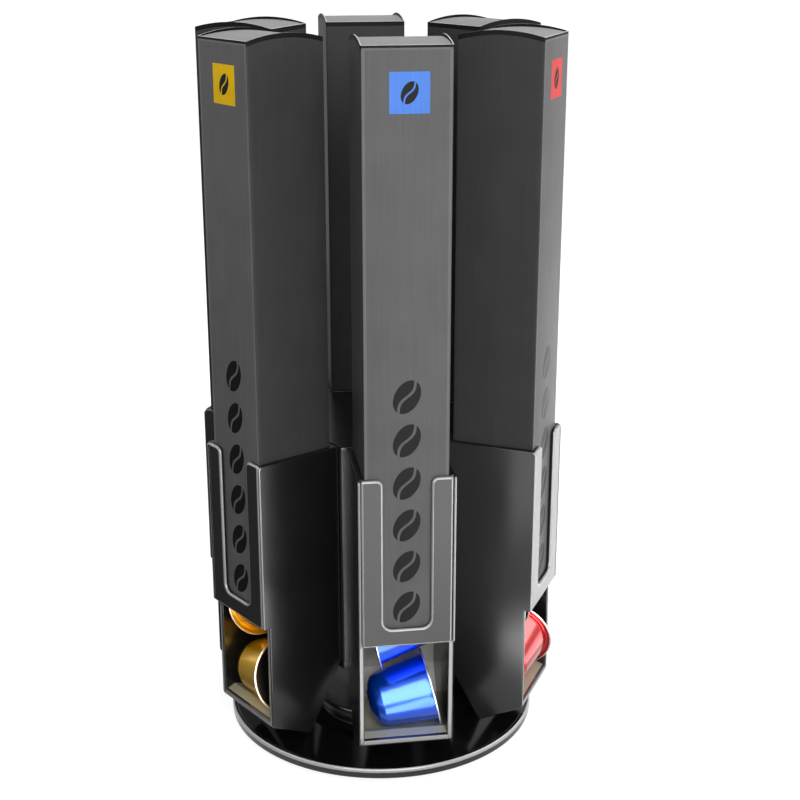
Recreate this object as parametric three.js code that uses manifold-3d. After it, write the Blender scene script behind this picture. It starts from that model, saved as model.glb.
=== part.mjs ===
// Rotating coffee capsule dispenser.
// Six carton sleeves of capsules stand in open chutes round a six-sided column. The column turns on a
// ball bearing over a round base. In each chute one capsule lies on its side in a cradle behind a low
// lip, where it can be tipped out, and the next one rests on it.
// Millimetres, +Z up. The origin is on the table, on the axis of rotation, and chute 1 faces -Y.
// A chute is drawn once, facing -Y: its x runs along the column's face and its depth r runs outwards.

import * as THREE from "three";
import { mergeVertices } from "three/addons/utils/BufferGeometryUtils.js";
import Module from "manifold-3d";

const wasm = await Module();
wasm.setup();

// Clearances
const seatGap = 0.3;
const runningGap = 0.06;
const overrun = 6;

// Counts
const chuteCount = 6;
const footCount = 4;
const ballCount = 8;
const roundSides = 56;
const ringSides = 36;
const capsuleSides = 20;
const smallSides = 12;
const ballSides = 8;
const arcSteps = 10;
const cornerSteps = 3;
const nutSides = 6;

// Base plate and feet
const baseRadius = 75.2;
const baseThickness = 4.5;
const baseEdge = 1;
const rimWidth = 2;
const rimHeight = 0.6;
const footRadius = 6;
const footStand = 1.5;
const footRecess = 1;
const footCircle = 62;

// Pivot bolt, its washer and nut
const boltRadius = 5;
const boltHeadRadius = 8;
const boltHeadHeight = 2.4;
const boltHeadRecess = 3.2;
const bossWall = 5;
const washerRadius = 9.5;
const washerThickness = 1.2;
const nutRadius = 8;
const nutHeight = 5;
const threadProud = 1.4;

// Ball bearing
const ballRadius = 2;
const ballCircle = 28;
const raceWidth = 9;
const raceThickness = 2.2;
const grooveDepth = 0.6;
const ballGap = 0.05;
const cageWidth = 6;
const cageThickness = 1.4;
const cagePocketGap = 0.25;

// Hub and column
const hubInset = 3.2;
const hubFloor = 3;
const hubWall = 2.2;
const hubBossHeight = 9.7;
const shoulderHeight = 3;
const plugHeight = 8;
const columnWall = 2.2;
const capThickness = 2.4;
const capPlugHeight = 6;

// Capsule
const flangeRadius = 18.3;
const flangeThickness = 0.9;
const capsuleHeight = 29.8;
const bodyRadius = 15.8;
const neckRadius = 12.7;
const neckHeight = 22.8;
const shoulderRadius = 9.6;
const shoulderTop = 27.8;
const noseRadius = 5;
const capsuleTilt = THREE.MathUtils.degToRad(13);
const nextCapsuleRise = 28;

// Carton sleeve
const sleeveWidth = 37;
const sleeveDepth = 38;
const sleeveLength = 257;
const sleeveWall = 0.5;
const sleeveCrown = 2.6;

// Chute: reaches are measured outwards from its back and heights from the table
const columnDepth = 40.6;
const backWall = 2;
const wallThickness = 2.5;
const sleeveSideGap = 0.4;
const chuteTop = 153;
const ledgeTop = 75.7;
const ledgeThickness = 2.4;
const ledgeWidth = 0.8;
const windowBottom = 23.4;
const windowTop = 74.1;
const windowSetback = 3.1;
const keelReach = 18.1;
const keelHeight = 12.5;
const heelReach = 4.1;
const heelHeight = 37.5;
const heelRise = 7;
const lipRise = 2.4;
const lipSlope = 1.9;
const cradleReach = 25.1;
const cradleBottom = 25.5;
const cradleGap = 0.5;
const cradleWall = 2;
const cradleEnd = THREE.MathUtils.degToRad(215);
const chuteCorner = 2;
const bossRadius = 3.4;
const bossHeight = 110;
const bossReach = 3.3;

// Screw that holds a chute to the column
const screwRadius = 1.15;
const screwHeadRadius = 3;
const screwHeadHeight = 2;
const screwLength = 4;

// Front cover
const coverThickness = 2;
const coverStrip = 1;
const coverSlot = 21;
const coverSlotBottom = 82.4;
const slotCorner = 4;
const legCorner = 3;
const coverCorner = 1.2;
const coverReturn = 0.9;
const coverReturnHeight = 1.6;

// Worked out from the sizes above
const baseBottom = footStand;
const baseTop = baseBottom + baseThickness;
const lowerRaceTop = baseTop + raceThickness;
const ballHeight = lowerRaceTop - grooveDepth + ballGap + ballRadius;
const upperRaceBottom = ballHeight + ballRadius + ballGap - grooveDepth;
const hubBottom = upperRaceBottom + raceThickness;
const hubBossTop = hubBottom + hubBossHeight;
const boltHeadTop = baseBottom + boltHeadRecess - seatGap;
const washerBottom = hubBossTop + runningGap;
const nutBottom = washerBottom + washerThickness + runningGap;
const boltTop = nutBottom + nutHeight + threadProud;
const columnBottom = heelHeight + heelRise - seatGap;
const columnTop = chuteTop - capThickness;
const columnInside = columnDepth - columnWall;
const hubRadius = columnDepth - hubInset;
const chuteBack = columnDepth + seatGap;
const chuteInside = chuteBack + backWall;
const heelDepth = chuteBack + heelReach;
const keelDepth = chuteBack + keelReach;
const cradleDepth = chuteBack + cradleReach;
const sleeveBack = chuteInside + seatGap;
const sleeveFront = sleeveBack + sleeveDepth;
const sleeveMiddle = (sleeveBack + sleeveFront) / 2;
const halfPocket = sleeveWidth / 2 + sleeveSideGap;
const halfChute = halfPocket + wallThickness;
const coverBack = sleeveFront + seatGap;
const coverFront = coverBack + coverThickness;
const windowFront = coverFront - windowSetback;
const halfCover = halfChute - coverStrip - seatGap;
const cradleRadius = flangeRadius + cradleGap;
const cradleMiddle = cradleBottom + cradleRadius;
const capsuleLean = Math.sin(capsuleTilt) * flangeRadius;
const capsuleReach = Math.cos(capsuleTilt) * flangeRadius;
const capsuleMiddle = cradleBottom + seatGap + capsuleReach + Math.sin(capsuleTilt) * flangeThickness;

// Solids
function solidOf(geometry) {
  const bare = geometry.clone();
  bare.deleteAttribute("normal");
  bare.deleteAttribute("uv");
  const merged = mergeVertices(bare);
  return new wasm.Manifold(
    new wasm.Mesh({
      numProp: 3,
      vertProperties: merged.attributes.position.array,
      triVerts: new Uint32Array(merged.index.array),
    }),
  );
}

function geometryOf(solid) {
  const mesh = solid.getMesh();
  const geometry = new THREE.BufferGeometry();
  geometry.setAttribute("position", new THREE.BufferAttribute(mesh.vertProperties, mesh.numProp));
  geometry.setIndex(new THREE.BufferAttribute(mesh.triVerts, 1));
  geometry.computeVertexNormals();
  return geometry;
}

// An outline whose points may carry a third value, the radius of their corner.
function outline(points) {
  const shape = new THREE.Shape();
  points.forEach(([x, y, radius = 0], i) => {
    const corner = new THREE.Vector2(x, y);
    const ends = [points.at(i - 1), points[(i + 1) % points.length]].map(([u, v]) =>
      new THREE.Vector2(u, v).sub(corner).setLength(radius).add(corner),
    );
    if (i === 0) shape.moveTo(ends[0].x, ends[0].y);
    else shape.lineTo(ends[0].x, ends[0].y);
    if (radius > 0) shape.quadraticCurveTo(x, y, ends[1].x, ends[1].y);
  });
  shape.closePath();
  return shape;
}

function extrude(shape, depth) {
  return new THREE.ExtrudeGeometry(shape, { depth, bevelEnabled: false, curveSegments: cornerSteps });
}

// A side view (depth r, height z) made as thick as twice halfWidth.
function acrossChute(points, halfWidth) {
  const turn = new THREE.Matrix4().makeBasis(
    new THREE.Vector3(0, -1, 0),
    new THREE.Vector3(0, 0, 1),
    new THREE.Vector3(-1, 0, 0),
  );
  return extrude(outline(points), 2 * halfWidth)
    .translate(0, 0, -halfWidth)
    .applyMatrix4(turn);
}

// A front view (width x, height z) that reaches from depth `from` to depth `to`.
function facingOut(shape, from, to) {
  return extrude(shape, to - from)
    .rotateX(Math.PI / 2)
    .translate(0, -from, 0);
}

function blockInChute(halfWidth, from, to, bottom, top) {
  return new THREE.BoxGeometry(2 * halfWidth, to - from, top - bottom).translate(
    0,
    -(from + to) / 2,
    (bottom + top) / 2,
  );
}

function upright(radius, bottom, top, sides) {
  return new THREE.CylinderGeometry(radius, radius, top - bottom, sides)
    .rotateX(Math.PI / 2)
    .translate(0, 0, (bottom + top) / 2);
}

// A cylinder that points outwards from the column's axis.
function radial(radius, from, to, height) {
  return new THREE.CylinderGeometry(radius, radius, to - from, smallSides).translate(
    0,
    -(from + to) / 2,
    height,
  );
}

// A ring turned about the axis of rotation from a closed profile of radius and height.
function turned(profile, sides) {
  const points = [...profile, profile[0]].map(([radius, height]) => new THREE.Vector2(radius, height));
  return new THREE.LatheGeometry(points, sides).rotateX(Math.PI / 2);
}

function hexagon(middle) {
  const corner = middle / Math.cos(Math.PI / chuteCount);
  return Array.from({ length: chuteCount }, (unused, i) => {
    const angle = (2 * Math.PI * i) / chuteCount;
    return [corner * Math.cos(angle), corner * Math.sin(angle)];
  });
}

function sixSided(middle, bottom, top) {
  return extrude(outline(hexagon(middle)), top - bottom).translate(0, 0, bottom);
}

function placed(angle, radius) {
  return [radius * Math.cos(angle), radius * Math.sin(angle)];
}

// Base
function basePlate() {
  const bore = boltRadius + seatGap / 2;
  const recess = boltHeadRadius + seatGap;
  const boss = boltRadius + bossWall;
  const bossTop = hubBottom - seatGap;
  const rimTop = baseTop + rimHeight;
  let plate = solidOf(
    turned(
      [
        [bore, baseBottom + boltHeadRecess],
        [recess, baseBottom + boltHeadRecess],
        [recess, baseBottom],
        [baseRadius - baseEdge, baseBottom],
        [baseRadius, baseBottom + baseEdge],
        [baseRadius, baseTop - rimHeight],
        [baseRadius - rimWidth / 2, rimTop],
        [baseRadius - rimWidth, rimTop],
        [baseRadius - rimWidth - rimHeight, baseTop],
        [boss, baseTop],
        [boss, bossTop],
        [bore, bossTop],
      ],
      roundSides,
    ),
  );
  for (let i = 0; i < footCount; i++) {
    const [x, y] = placed((Math.PI * (2 * i + 1)) / footCount, footCircle);
    const hole = upright(footRadius + seatGap, baseBottom - overrun, baseBottom + footRecess, smallSides);
    plate = plate.subtract(solidOf(hole.translate(x, y, 0)));
  }
  return geometryOf(plate);
}

function foot(i) {
  const [x, y] = placed((Math.PI * (2 * i + 1)) / footCount, footCircle);
  return upright(footRadius, 0, baseBottom + footRecess - seatGap / 2, smallSides).translate(x, y, 0);
}

function pivotBolt() {
  const head = upright(boltHeadRadius, boltHeadTop - boltHeadHeight, boltHeadTop, ringSides);
  const shank = upright(boltRadius, boltHeadTop - boltHeadHeight / 2, boltTop, ringSides);
  return geometryOf(solidOf(head).add(solidOf(shank)));
}

function ringOf(inner, outer, bottom, top, sides) {
  return turned(
    [
      [inner, bottom],
      [outer, bottom],
      [outer, top],
      [inner, top],
    ],
    sides,
  );
}

function lockNut() {
  const corner = nutRadius / Math.cos(Math.PI / nutSides);
  const nutTop = nutBottom + nutHeight;
  const body = upright(corner, nutBottom, nutTop, nutSides);
  const bore = upright(boltRadius + seatGap / 2, nutBottom - overrun, nutTop + overrun, ringSides);
  return geometryOf(solidOf(body).subtract(solidOf(bore)));
}

// Bearing: a race has its groove at `grooveSide`, and its flat face at `flatSide`.
function race(flatSide, grooveSide) {
  const inner = ballCircle - raceWidth / 2;
  const outer = ballCircle + raceWidth / 2;
  const floor = grooveSide + Math.sign(flatSide - grooveSide) * grooveDepth;
  const halfGroove = Math.sqrt(2 * ballRadius * grooveDepth);
  const profile = [
    [inner, flatSide],
    [outer, flatSide],
    [outer, grooveSide],
    [ballCircle + halfGroove, grooveSide],
    [ballCircle + halfGroove / 2, floor],
    [ballCircle - halfGroove / 2, floor],
    [ballCircle - halfGroove, grooveSide],
    [inner, grooveSide],
  ];
  return turned(flatSide < grooveSide ? profile : profile.reverse(), ringSides);
}

function ballCage() {
  const bottom = ballHeight - cageThickness / 2;
  const top = ballHeight + cageThickness / 2;
  const inner = ballCircle - cageWidth / 2;
  let cage = solidOf(ringOf(inner, inner + cageWidth, bottom, top, ringSides));
  for (let i = 0; i < ballCount; i++) {
    const [x, y] = placed((2 * Math.PI * i) / ballCount, ballCircle);
    const pocket = upright(ballRadius + cagePocketGap, bottom - overrun, top + overrun, smallSides);
    cage = cage.subtract(solidOf(pocket.translate(x, y, 0)));
  }
  return geometryOf(cage);
}

function ball(i) {
  const [x, y] = placed((2 * Math.PI * i) / ballCount, ballCircle);
  return new THREE.SphereGeometry(ballRadius, ballSides, ballSides).translate(x, y, ballHeight);
}

// Hub and column
function hub() {
  const bore = boltRadius + runningGap;
  const boss = boltRadius + bossWall;
  const floorTop = hubBottom + hubFloor;
  const bowlTop = columnBottom - shoulderHeight / 2;
  const bowl = turned(
    [
      [bore, hubBottom],
      [hubRadius, hubBottom],
      [hubRadius, bowlTop],
      [hubRadius - hubWall, bowlTop],
      [hubRadius - hubWall, floorTop],
      [boss, floorTop],
      [boss, hubBossTop],
      [bore, hubBossTop],
    ],
    ringSides,
  );
  const plugTop = columnBottom + plugHeight;
  const shoulder = sixSided(columnDepth, columnBottom - shoulderHeight, columnBottom);
  const plug = sixSided(columnInside - seatGap, bowlTop, plugTop);
  const hollow = upright(hubRadius - hubWall, floorTop, plugTop + overrun, ringSides);
  const upper = solidOf(shoulder).add(solidOf(plug)).subtract(solidOf(hollow));
  return geometryOf(solidOf(bowl).add(upper));
}

function column() {
  let tube = solidOf(sixSided(columnDepth, columnBottom, columnTop)).subtract(
    solidOf(sixSided(columnInside, columnBottom - overrun, columnTop + overrun)),
  );
  for (let i = 0; i < chuteCount; i++) {
    const hole = radial(bossRadius + seatGap, columnInside - overrun, columnDepth + overrun, bossHeight);
    tube = tube.subtract(solidOf(hole.rotateZ((2 * Math.PI * i) / chuteCount)));
  }
  return geometryOf(tube);
}

function columnCap() {
  const outer = columnInside - seatGap;
  const lid = solidOf(sixSided(columnDepth, columnTop, chuteTop));
  const plug = solidOf(sixSided(outer, columnTop - capPlugHeight, columnTop + capThickness / 2));
  const hollow = solidOf(sixSided(outer - columnWall, columnTop - capPlugHeight - overrun, columnTop));
  return geometryOf(lid.add(plug).subtract(hollow));
}

// Chute: the cradle is an arc round the capsule's flange, from the lip back and up.
function cradleOutline(radius) {
  const points = [];
  const lipTop = windowBottom + lipRise + lipSlope;
  const start = Math.asin((lipTop - cradleMiddle) / cradleRadius);
  const sweep = 2 * Math.PI - cradleEnd + start;
  for (let i = 0; i <= arcSteps; i++) {
    const angle = start - (sweep * i) / arcSteps;
    points.push([cradleDepth + radius * Math.cos(angle), cradleMiddle + radius * Math.sin(angle)]);
  }
  return points;
}

function chute() {
  const halfCoverRoom = halfCover + seatGap;
  const farOut = coverFront + overrun;
  const farUp = chuteTop + overrun;
  const body = acrossChute(
    [
      [coverFront, chuteTop, chuteCorner],
      [coverFront, windowTop],
      [windowFront, windowTop],
      [windowFront, windowBottom],
      [keelDepth, keelHeight, chuteCorner],
      [heelDepth, heelHeight],
      [chuteBack, heelHeight + heelRise],
      [chuteBack, chuteTop],
    ].reverse(),
    halfChute,
  );
  const cradle = cradleOutline(cradleRadius);
  const [lipDepth, lipTop] = cradle[0];
  const [endDepth, endHeight] = cradle.at(-1);
  const backInside = chuteInside + ledgeWidth;
  const backHeight = endHeight + (endDepth - backInside) / Math.tan(cradleEnd);
  const lipFront = windowFront + overrun;
  const lipFrontHeight = lipTop - (lipSlope * (lipFront - lipDepth)) / (windowFront - lipDepth);
  const hollow = acrossChute(
    [
      [lipFront, lipFrontHeight],
      ...cradle,
      [backInside, backHeight],
      [backInside, farUp],
      [lipFront, farUp],
    ].reverse(),
    halfPocket,
  );
  const ledgeBottom = ledgeTop - ledgeThickness;
  const pocket = blockInChute(halfPocket, chuteInside, farOut, ledgeTop, farUp);
  const coverRoom = blockInChute(halfCoverRoom, coverBack - seatGap, farOut, windowTop, farUp);
  const ledge = blockInChute(halfPocket, chuteInside, windowFront - seatGap, ledgeBottom, ledgeTop);
  const ledgeHole = blockInChute(halfPocket - ledgeWidth, backInside, farOut, windowBottom, farUp);
  const underCradle = cradleOutline(cradleRadius + cradleWall);
  const underFront = windowFront - cradleWall;
  const underside = acrossChute(
    [
      [underFront, 0],
      [underFront, windowBottom],
      ...underCradle,
      [chuteBack - overrun, underCradle.at(-1)[1]],
      [chuteBack - overrun, 0],
    ].reverse(),
    halfPocket,
  );
  const boss = radial(bossRadius, chuteBack - bossReach, chuteBack + backWall / 2, bossHeight);
  const pilot = radial(
    screwRadius + seatGap / 2,
    chuteBack - bossReach - overrun,
    chuteInside - backWall / 2,
    bossHeight,
  );
  return geometryOf(
    solidOf(body)
      .subtract(solidOf(hollow))
      .subtract(solidOf(pocket))
      .subtract(solidOf(coverRoom))
      .subtract(solidOf(underside))
      .add(solidOf(ledge).subtract(solidOf(ledgeHole)))
      .add(solidOf(boss))
      .subtract(solidOf(pilot)),
  );
}

function chuteScrew() {
  const seat = chuteBack - bossReach - seatGap / 2;
  const head = radial(screwHeadRadius, seat - screwHeadHeight, seat, bossHeight);
  const shank = radial(screwRadius, seat - screwHeadHeight / 2, seat + screwLength, bossHeight);
  return geometryOf(solidOf(head).add(solidOf(shank)));
}

function frontCover() {
  const halfSlot = coverSlot / 2;
  const face = outline([
    [-halfCover, windowTop, coverCorner],
    [halfCover, windowTop, coverCorner],
    [halfCover, chuteTop, coverCorner],
    [halfSlot, chuteTop, legCorner],
    [halfSlot, coverSlotBottom, slotCorner],
    [-halfSlot, coverSlotBottom, slotCorner],
    [-halfSlot, chuteTop, legCorner],
    [-halfCover, chuteTop, coverCorner],
  ]);
  const plate = facingOut(face, coverBack, coverFront);
  const returned = blockInChute(
    halfPocket - seatGap,
    coverBack - coverReturn,
    coverBack + coverThickness / 2,
    windowTop,
    windowTop + coverReturnHeight,
  );
  return geometryOf(solidOf(plate).add(solidOf(returned)));
}

// Sleeve: the crown of its top is an arc from front to back.
function sleeveOutline(inset) {
  const bottom = ledgeTop + seatGap / 2;
  const top = bottom + sleeveLength;
  const points = [];
  for (let i = 0; i <= arcSteps; i++) {
    const share = (2 * i) / arcSteps - 1;
    const rise = sleeveCrown * (1 - share ** 2);
    points.push([sleeveMiddle + share * (sleeveDepth / 2 - inset), top + rise - inset]);
  }
  const open = inset > 0 ? bottom - overrun : bottom;
  return [...points, [sleeveFront - inset, open], [sleeveBack + inset, open]].reverse();
}

function sleeve() {
  const outer = acrossChute(sleeveOutline(0), sleeveWidth / 2);
  const inner = acrossChute(sleeveOutline(sleeveWall), sleeveWidth / 2 - sleeveWall);
  return geometryOf(solidOf(outer).subtract(solidOf(inner)));
}

// Capsule: its foil face is at the origin and its nose points along -x.
function capsule() {
  const profile = [
    [0, 0],
    [flangeRadius, 0],
    [flangeRadius, flangeThickness],
    [bodyRadius, flangeThickness],
    [neckRadius, neckHeight],
    [shoulderRadius, shoulderTop],
    [noseRadius, capsuleHeight],
    [0, capsuleHeight],
  ];
  const points = profile.map(([radius, height]) => new THREE.Vector2(radius, height));
  return new THREE.LatheGeometry(points, capsuleSides).rotateZ(Math.PI / 2);
}

// A capsule on its side: `side` is 1 with the foil to +x, and -1 with the foil to -x.
function lyingCapsule(side, depth, height) {
  const foil = halfPocket - ledgeWidth - seatGap - capsuleLean;
  const flip = side > 0 ? 0 : Math.PI;
  return capsule()
    .rotateZ(flip)
    .rotateY(-capsuleTilt)
    .translate(side * foil, -depth, height);
}

// Assembly
const finishes = {
  plastic: { color: 0x141415, roughness: 0.3, metalness: 0 },
  cover: { color: 0x6b6b6c, roughness: 0.35, metalness: 0 },
  steel: { color: 0xb9bbbe, roughness: 0.3, metalness: 1 },
  nylon: { color: 0xe6e2d6, roughness: 0.5, metalness: 0 },
  rubber: { color: 0x1a1a1a, roughness: 0.9, metalness: 0 },
  carton: { color: 0x525253, roughness: 0.7, metalness: 0 },
};
const capsuleColours = [0x0b4fd0, 0xb31217, 0x2f8f46, 0x6a3fa0, 0xc8641e, 0xc79a17];

const root = new THREE.Group();

function addPiece(name, geometry, finish, parent = root) {
  const mesh = new THREE.Mesh(geometry, new THREE.MeshStandardMaterial(finish));
  mesh.name = name;
  parent.add(mesh);
}

addPiece("base_plate", basePlate(), finishes.plastic);
for (let i = 0; i < footCount; i++) addPiece(`foot_${i + 1}`, foot(i), finishes.rubber);
addPiece("pivot_bolt", pivotBolt(), finishes.steel);
addPiece("lower_race", race(baseTop, lowerRaceTop), finishes.steel);
addPiece("upper_race", race(hubBottom, upperRaceBottom), finishes.steel);
addPiece("ball_cage", ballCage(), finishes.nylon);
for (let i = 0; i < ballCount; i++) addPiece(`ball_${i + 1}`, ball(i), finishes.steel);
addPiece("hub", hub(), finishes.plastic);
addPiece(
  "thrust_washer",
  ringOf(boltRadius + seatGap / 2, washerRadius, washerBottom, washerBottom + washerThickness, ringSides),
  finishes.nylon,
);
addPiece("lock_nut", lockNut(), finishes.steel);
addPiece("column", column(), finishes.plastic);
addPiece("column_cap", columnCap(), finishes.plastic);

for (let i = 0; i < chuteCount; i++) {
  const station = new THREE.Group();
  station.rotation.z = (2 * Math.PI * i) / chuteCount;
  root.add(station);
  const metal = { color: capsuleColours[i], roughness: 0.25, metalness: 0.9 };
  addPiece(`chute_${i + 1}`, chute(), finishes.plastic, station);
  addPiece(`chute_screw_${i + 1}`, chuteScrew(), finishes.steel, station);
  addPiece(`front_cover_${i + 1}`, frontCover(), finishes.cover, station);
  addPiece(`sleeve_${i + 1}`, sleeve(), finishes.carton, station);
  addPiece(`capsule_${i + 1}`, lyingCapsule(1, cradleDepth, capsuleMiddle), metal, station);
  const height = capsuleMiddle + nextCapsuleRise;
  addPiece(`next_capsule_${i + 1}`, lyingCapsule(-1, sleeveMiddle, height), metal, station);
}

export default root;
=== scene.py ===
# Looks of a rotating coffee capsule dispenser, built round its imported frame.
# Shapes are drawn in millimetres in the frame of chute 1, which faces -Y, and are turned to their own
# chute when they are finished. A side view is drawn as (depth from the axis of rotation, height).
# A corner of an outline is (across, up), or (across, up, radius) where it is rounded.

import math
from functools import partial, reduce

import bmesh
import bpy
from mathutils import Matrix, Vector


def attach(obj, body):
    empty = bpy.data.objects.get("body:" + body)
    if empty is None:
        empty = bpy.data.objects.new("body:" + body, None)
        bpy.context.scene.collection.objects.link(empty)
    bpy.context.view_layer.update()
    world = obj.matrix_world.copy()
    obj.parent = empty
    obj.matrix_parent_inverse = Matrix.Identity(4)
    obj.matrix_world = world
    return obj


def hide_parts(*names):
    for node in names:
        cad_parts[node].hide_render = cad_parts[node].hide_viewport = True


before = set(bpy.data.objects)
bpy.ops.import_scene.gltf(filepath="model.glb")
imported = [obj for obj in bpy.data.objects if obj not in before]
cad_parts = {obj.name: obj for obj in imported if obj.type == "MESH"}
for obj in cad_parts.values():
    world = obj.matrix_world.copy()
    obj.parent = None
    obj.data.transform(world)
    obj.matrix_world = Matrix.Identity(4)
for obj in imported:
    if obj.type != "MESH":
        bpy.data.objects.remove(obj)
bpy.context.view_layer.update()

MM = 0.001
TINY = 1e-6
FINISH = "finish"

# Counts, and the sides and steps of round shapes
CHUTES, FEET, BALLS, STACKED = 6, 4, 8, 9
ROUND_SIDES, CAPSULE_SIDES, BOLT_SIDES, FOOT_SIDES = 128, 72, 64, 48
BALL_SIDES, STACK_SIDES, SCREW_SIDES = 40, 40, 32
ARC_STEPS, BALL_STEPS, GROOVE_STEPS, CORNER_STEPS, FINE_CORNER_STEPS = 32, 24, 10, 5, 4

# Angles between faces: the largest that is merged, and the smallest where an edge is rounded or is sharp
MERGED_ANGLE = math.radians(0.2)
ROUNDED_ANGLE, COVER_ANGLE = math.radians(28), math.radians(60)
SHARP_ANGLE, BOARD_ANGLE = math.radians(40), math.radians(50)

# Roundings that many pieces share, and how far a cutter reaches past what it cuts
FINE, SMALL, MEDIUM, BROAD, SOFT, WIDE = 0.2, 0.3, 0.4, 0.5, 0.6, 1.0
PAST, FAR_PAST = 1, 2

# Base plate and feet; the cup under a foot ends at shares of its radius
BASE_RADIUS, BASE_BOTTOM, BASE_TOP = 75.2, 1.5, 6.0
# The base's rim edge is painted pale above its highlight line, a painted highlight
RIM_WIDTH, RIM_HEIGHT, RIM_HIGHLIGHT_LINE, RIM_ROUNDING = 2.0, 0.6, 4.8, 0.95
FOOT_RADIUS, FOOT_TOP, FOOT_RECESS, FOOT_CIRCLE, FOOT_GAP = 6.0, 2.35, 2.5, 62.0, 0.3
CUP_DEPTH, CUP_START, CUP_END = 0.35, 0.72, 0.6
BOSS_RADIUS, BOSS_TOP = 10.0, 13.0

# Pivot bolt, washer and nut
BOLT_RADIUS, BOLT_HEAD_RADIUS, BOLT_HEAD_BOTTOM, BOLT_HEAD_TOP, BOLT_TOP = 5.0, 8.0, 2.0, 4.4, 30.72
BOLT_BORE, BOLT_RECESS_RADIUS, BOLT_RECESS_TOP = 5.15, 8.3, 4.7
SOCKET_RADIUS, SOCKET_DEPTH, BOLT_EDGE = 3.4, 1.7, 0.15
WASHER_RADIUS, WASHER_BOTTOM, WASHER_TOP = 9.5, 23.06, 24.26
NUT_APOTHEM, NUT_BOTTOM, NUT_TOP, NUT_CORNER, NUT_CHAMFER = 8.0, 24.32, 29.32, 0.5, 1

# Ball bearing
BALL_RADIUS, BALL_CIRCLE, BALL_HEIGHT = 2.0, 28.0, 9.65
RACE_WIDTH, RACE_THICKNESS, GROOVE_DEPTH = 9.0, 2.2, 0.6
LOWER_RACE_BOTTOM, UPPER_RACE_TOP = 6.0, 13.3
CAGE_WIDTH, CAGE_THICKNESS, CAGE_POCKET = 6.0, 1.4, 2.25

# Hub, column and cap: a six-sided size is its apothem
HUB_RADIUS, HUB_BOTTOM, HUB_FLOOR, HUB_WALL, HUB_ROUNDING = 37.4, 13.3, 3.0, 2.2, 1.4
HUB_BORE, HUB_BOSS_TOP, SHOULDER_HEIGHT, PLUG_HEIGHT = 5.06, 23.0, 3.0, 8.0
COLUMN_DEPTH, COLUMN_WALL, COLUMN_BOTTOM, COLUMN_TOP = 40.6, 2.2, 44.2, 150.6
COLUMN_CORNER, COLUMN_ROUNDING = 1.2, 0.35
CAP_TOP, CAP_PLUG_HEIGHT, PLUG_GAP, CAP_ROUNDING = 153.0, 6.0, 0.3, 0.8

# Chute
CHUTE_BACK, CHUTE_INSIDE, CHUTE_TOP = 40.9, 42.9, 153.0
HALF_POCKET, HALF_CHUTE, HALF_COVER_ROOM = 18.9, 21.4, 20.4
COVER_BACK, COVER_FRONT, COVER_ROOM_BACK, HALF_COVER = 81.5, 83.5, 81.2, 20.1
WINDOW_FRONT, WINDOW_BOTTOM, WINDOW_TOP = 80.4, 23.4, 74.1
KEEL_DEPTH, KEEL_HEIGHT, HEEL_DEPTH, HEEL_HEIGHT, HEEL_TOP = 59.0, 12.5, 45.0, 37.5, 44.5
WALL_CORNER, SHOULDER_CORNER = 2.0, 1.0
LEDGE_TOP, LEDGE_THICKNESS, LEDGE_WIDTH, LEDGE_GAP = 75.7, 2.4, 0.8, 0.3
CRADLE_DEPTH, CRADLE_HEIGHT, CRADLE_RADIUS, CRADLE_WALL = 66.0, 44.3, 18.8, 2.0
CRADLE_START, CRADLE_END = math.radians(-62.0), math.radians(-145.0)
LIP_FRONT_TOP, LIP_BOTTOM, LIP_BEAD_DEPTH, LIP_BEAD_TOP = 25.8, 22.4, 78.9, 26.22
MOUNT_RADIUS, MOUNT_HEIGHT, MOUNT_REACH, PILOT_RADIUS = 3.4, 110.0, 3.3, 1.3
SLOT_HALF, SLOT_BOTTOM, SLOT_CORNER, LEG_CORNER, COVER_CORNER = 10.5, 82.4, 4.0, 3.0, 1.2
RETURN_DEPTH, RETURN_HEIGHT, RETURN_GAP = 0.9, 1.6, 0.3

# How far joined solids sink into each other, and the step that keeps their faces out of one plane
SINK, STEP = 1.0, 0.08

# Roundings of a chute's edges
WALL_ROUNDING, WALL_OUTER_ROUNDING, WALL_INNER_ROUNDING = 0.3, 0.8, 0.15
FRAME_ROUNDING, MIDDLE_ROUNDING, COVER_ROUNDING = 1.0, 0.4, 0.95

# Finishes of faces: the floor of a pocket ends at a height, and a share of a face's normal says that
# it faces up or straight ahead, belongs to a rounded front edge, or is the cut edge of a carton. Pale
# faces on frames and front edges are a painted highlight, and the darker grey of up-facing pocket
# floors is painted shade
BLACK_FACE, POCKET_FACE, PAINTED_HIGHLIGHT_FACE, SHADED_LEDGE_FACE = range(4)
POCKET_MARGIN, POCKET_TOP_MARGIN, POCKET_FLOOR_TOP, FACING_UP = 1, 0.5, 32.0, 0.3
STRAIGHT, LEAST_FRONT, LEAST_SIDE, RIM_UPWARDS = 0.98, 0.15, 0.2, 0.92
COVER_EDGE_LEAST, COVER_EDGE_MOST, CARTON_FRONT, CUT_EDGE = 0.1, 0.99, 0.9, 0.7

# Screw that holds a chute to the column
SCREW_RADIUS, SCREW_HEAD_RADIUS, SCREW_HEAD_HEIGHT, SCREW_LENGTH, SCREW_SEAT = 1.15, 3.0, 2.0, 4.0, 37.45
SCREW_HEAD_CORNER, SCREW_CORNER, SCREW_POINT = 1.2, 0.1, 1
CROSS_REACH, CROSS_HALF, CROSS_DEPTH = 1.6, 0.3, 0.9

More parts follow.
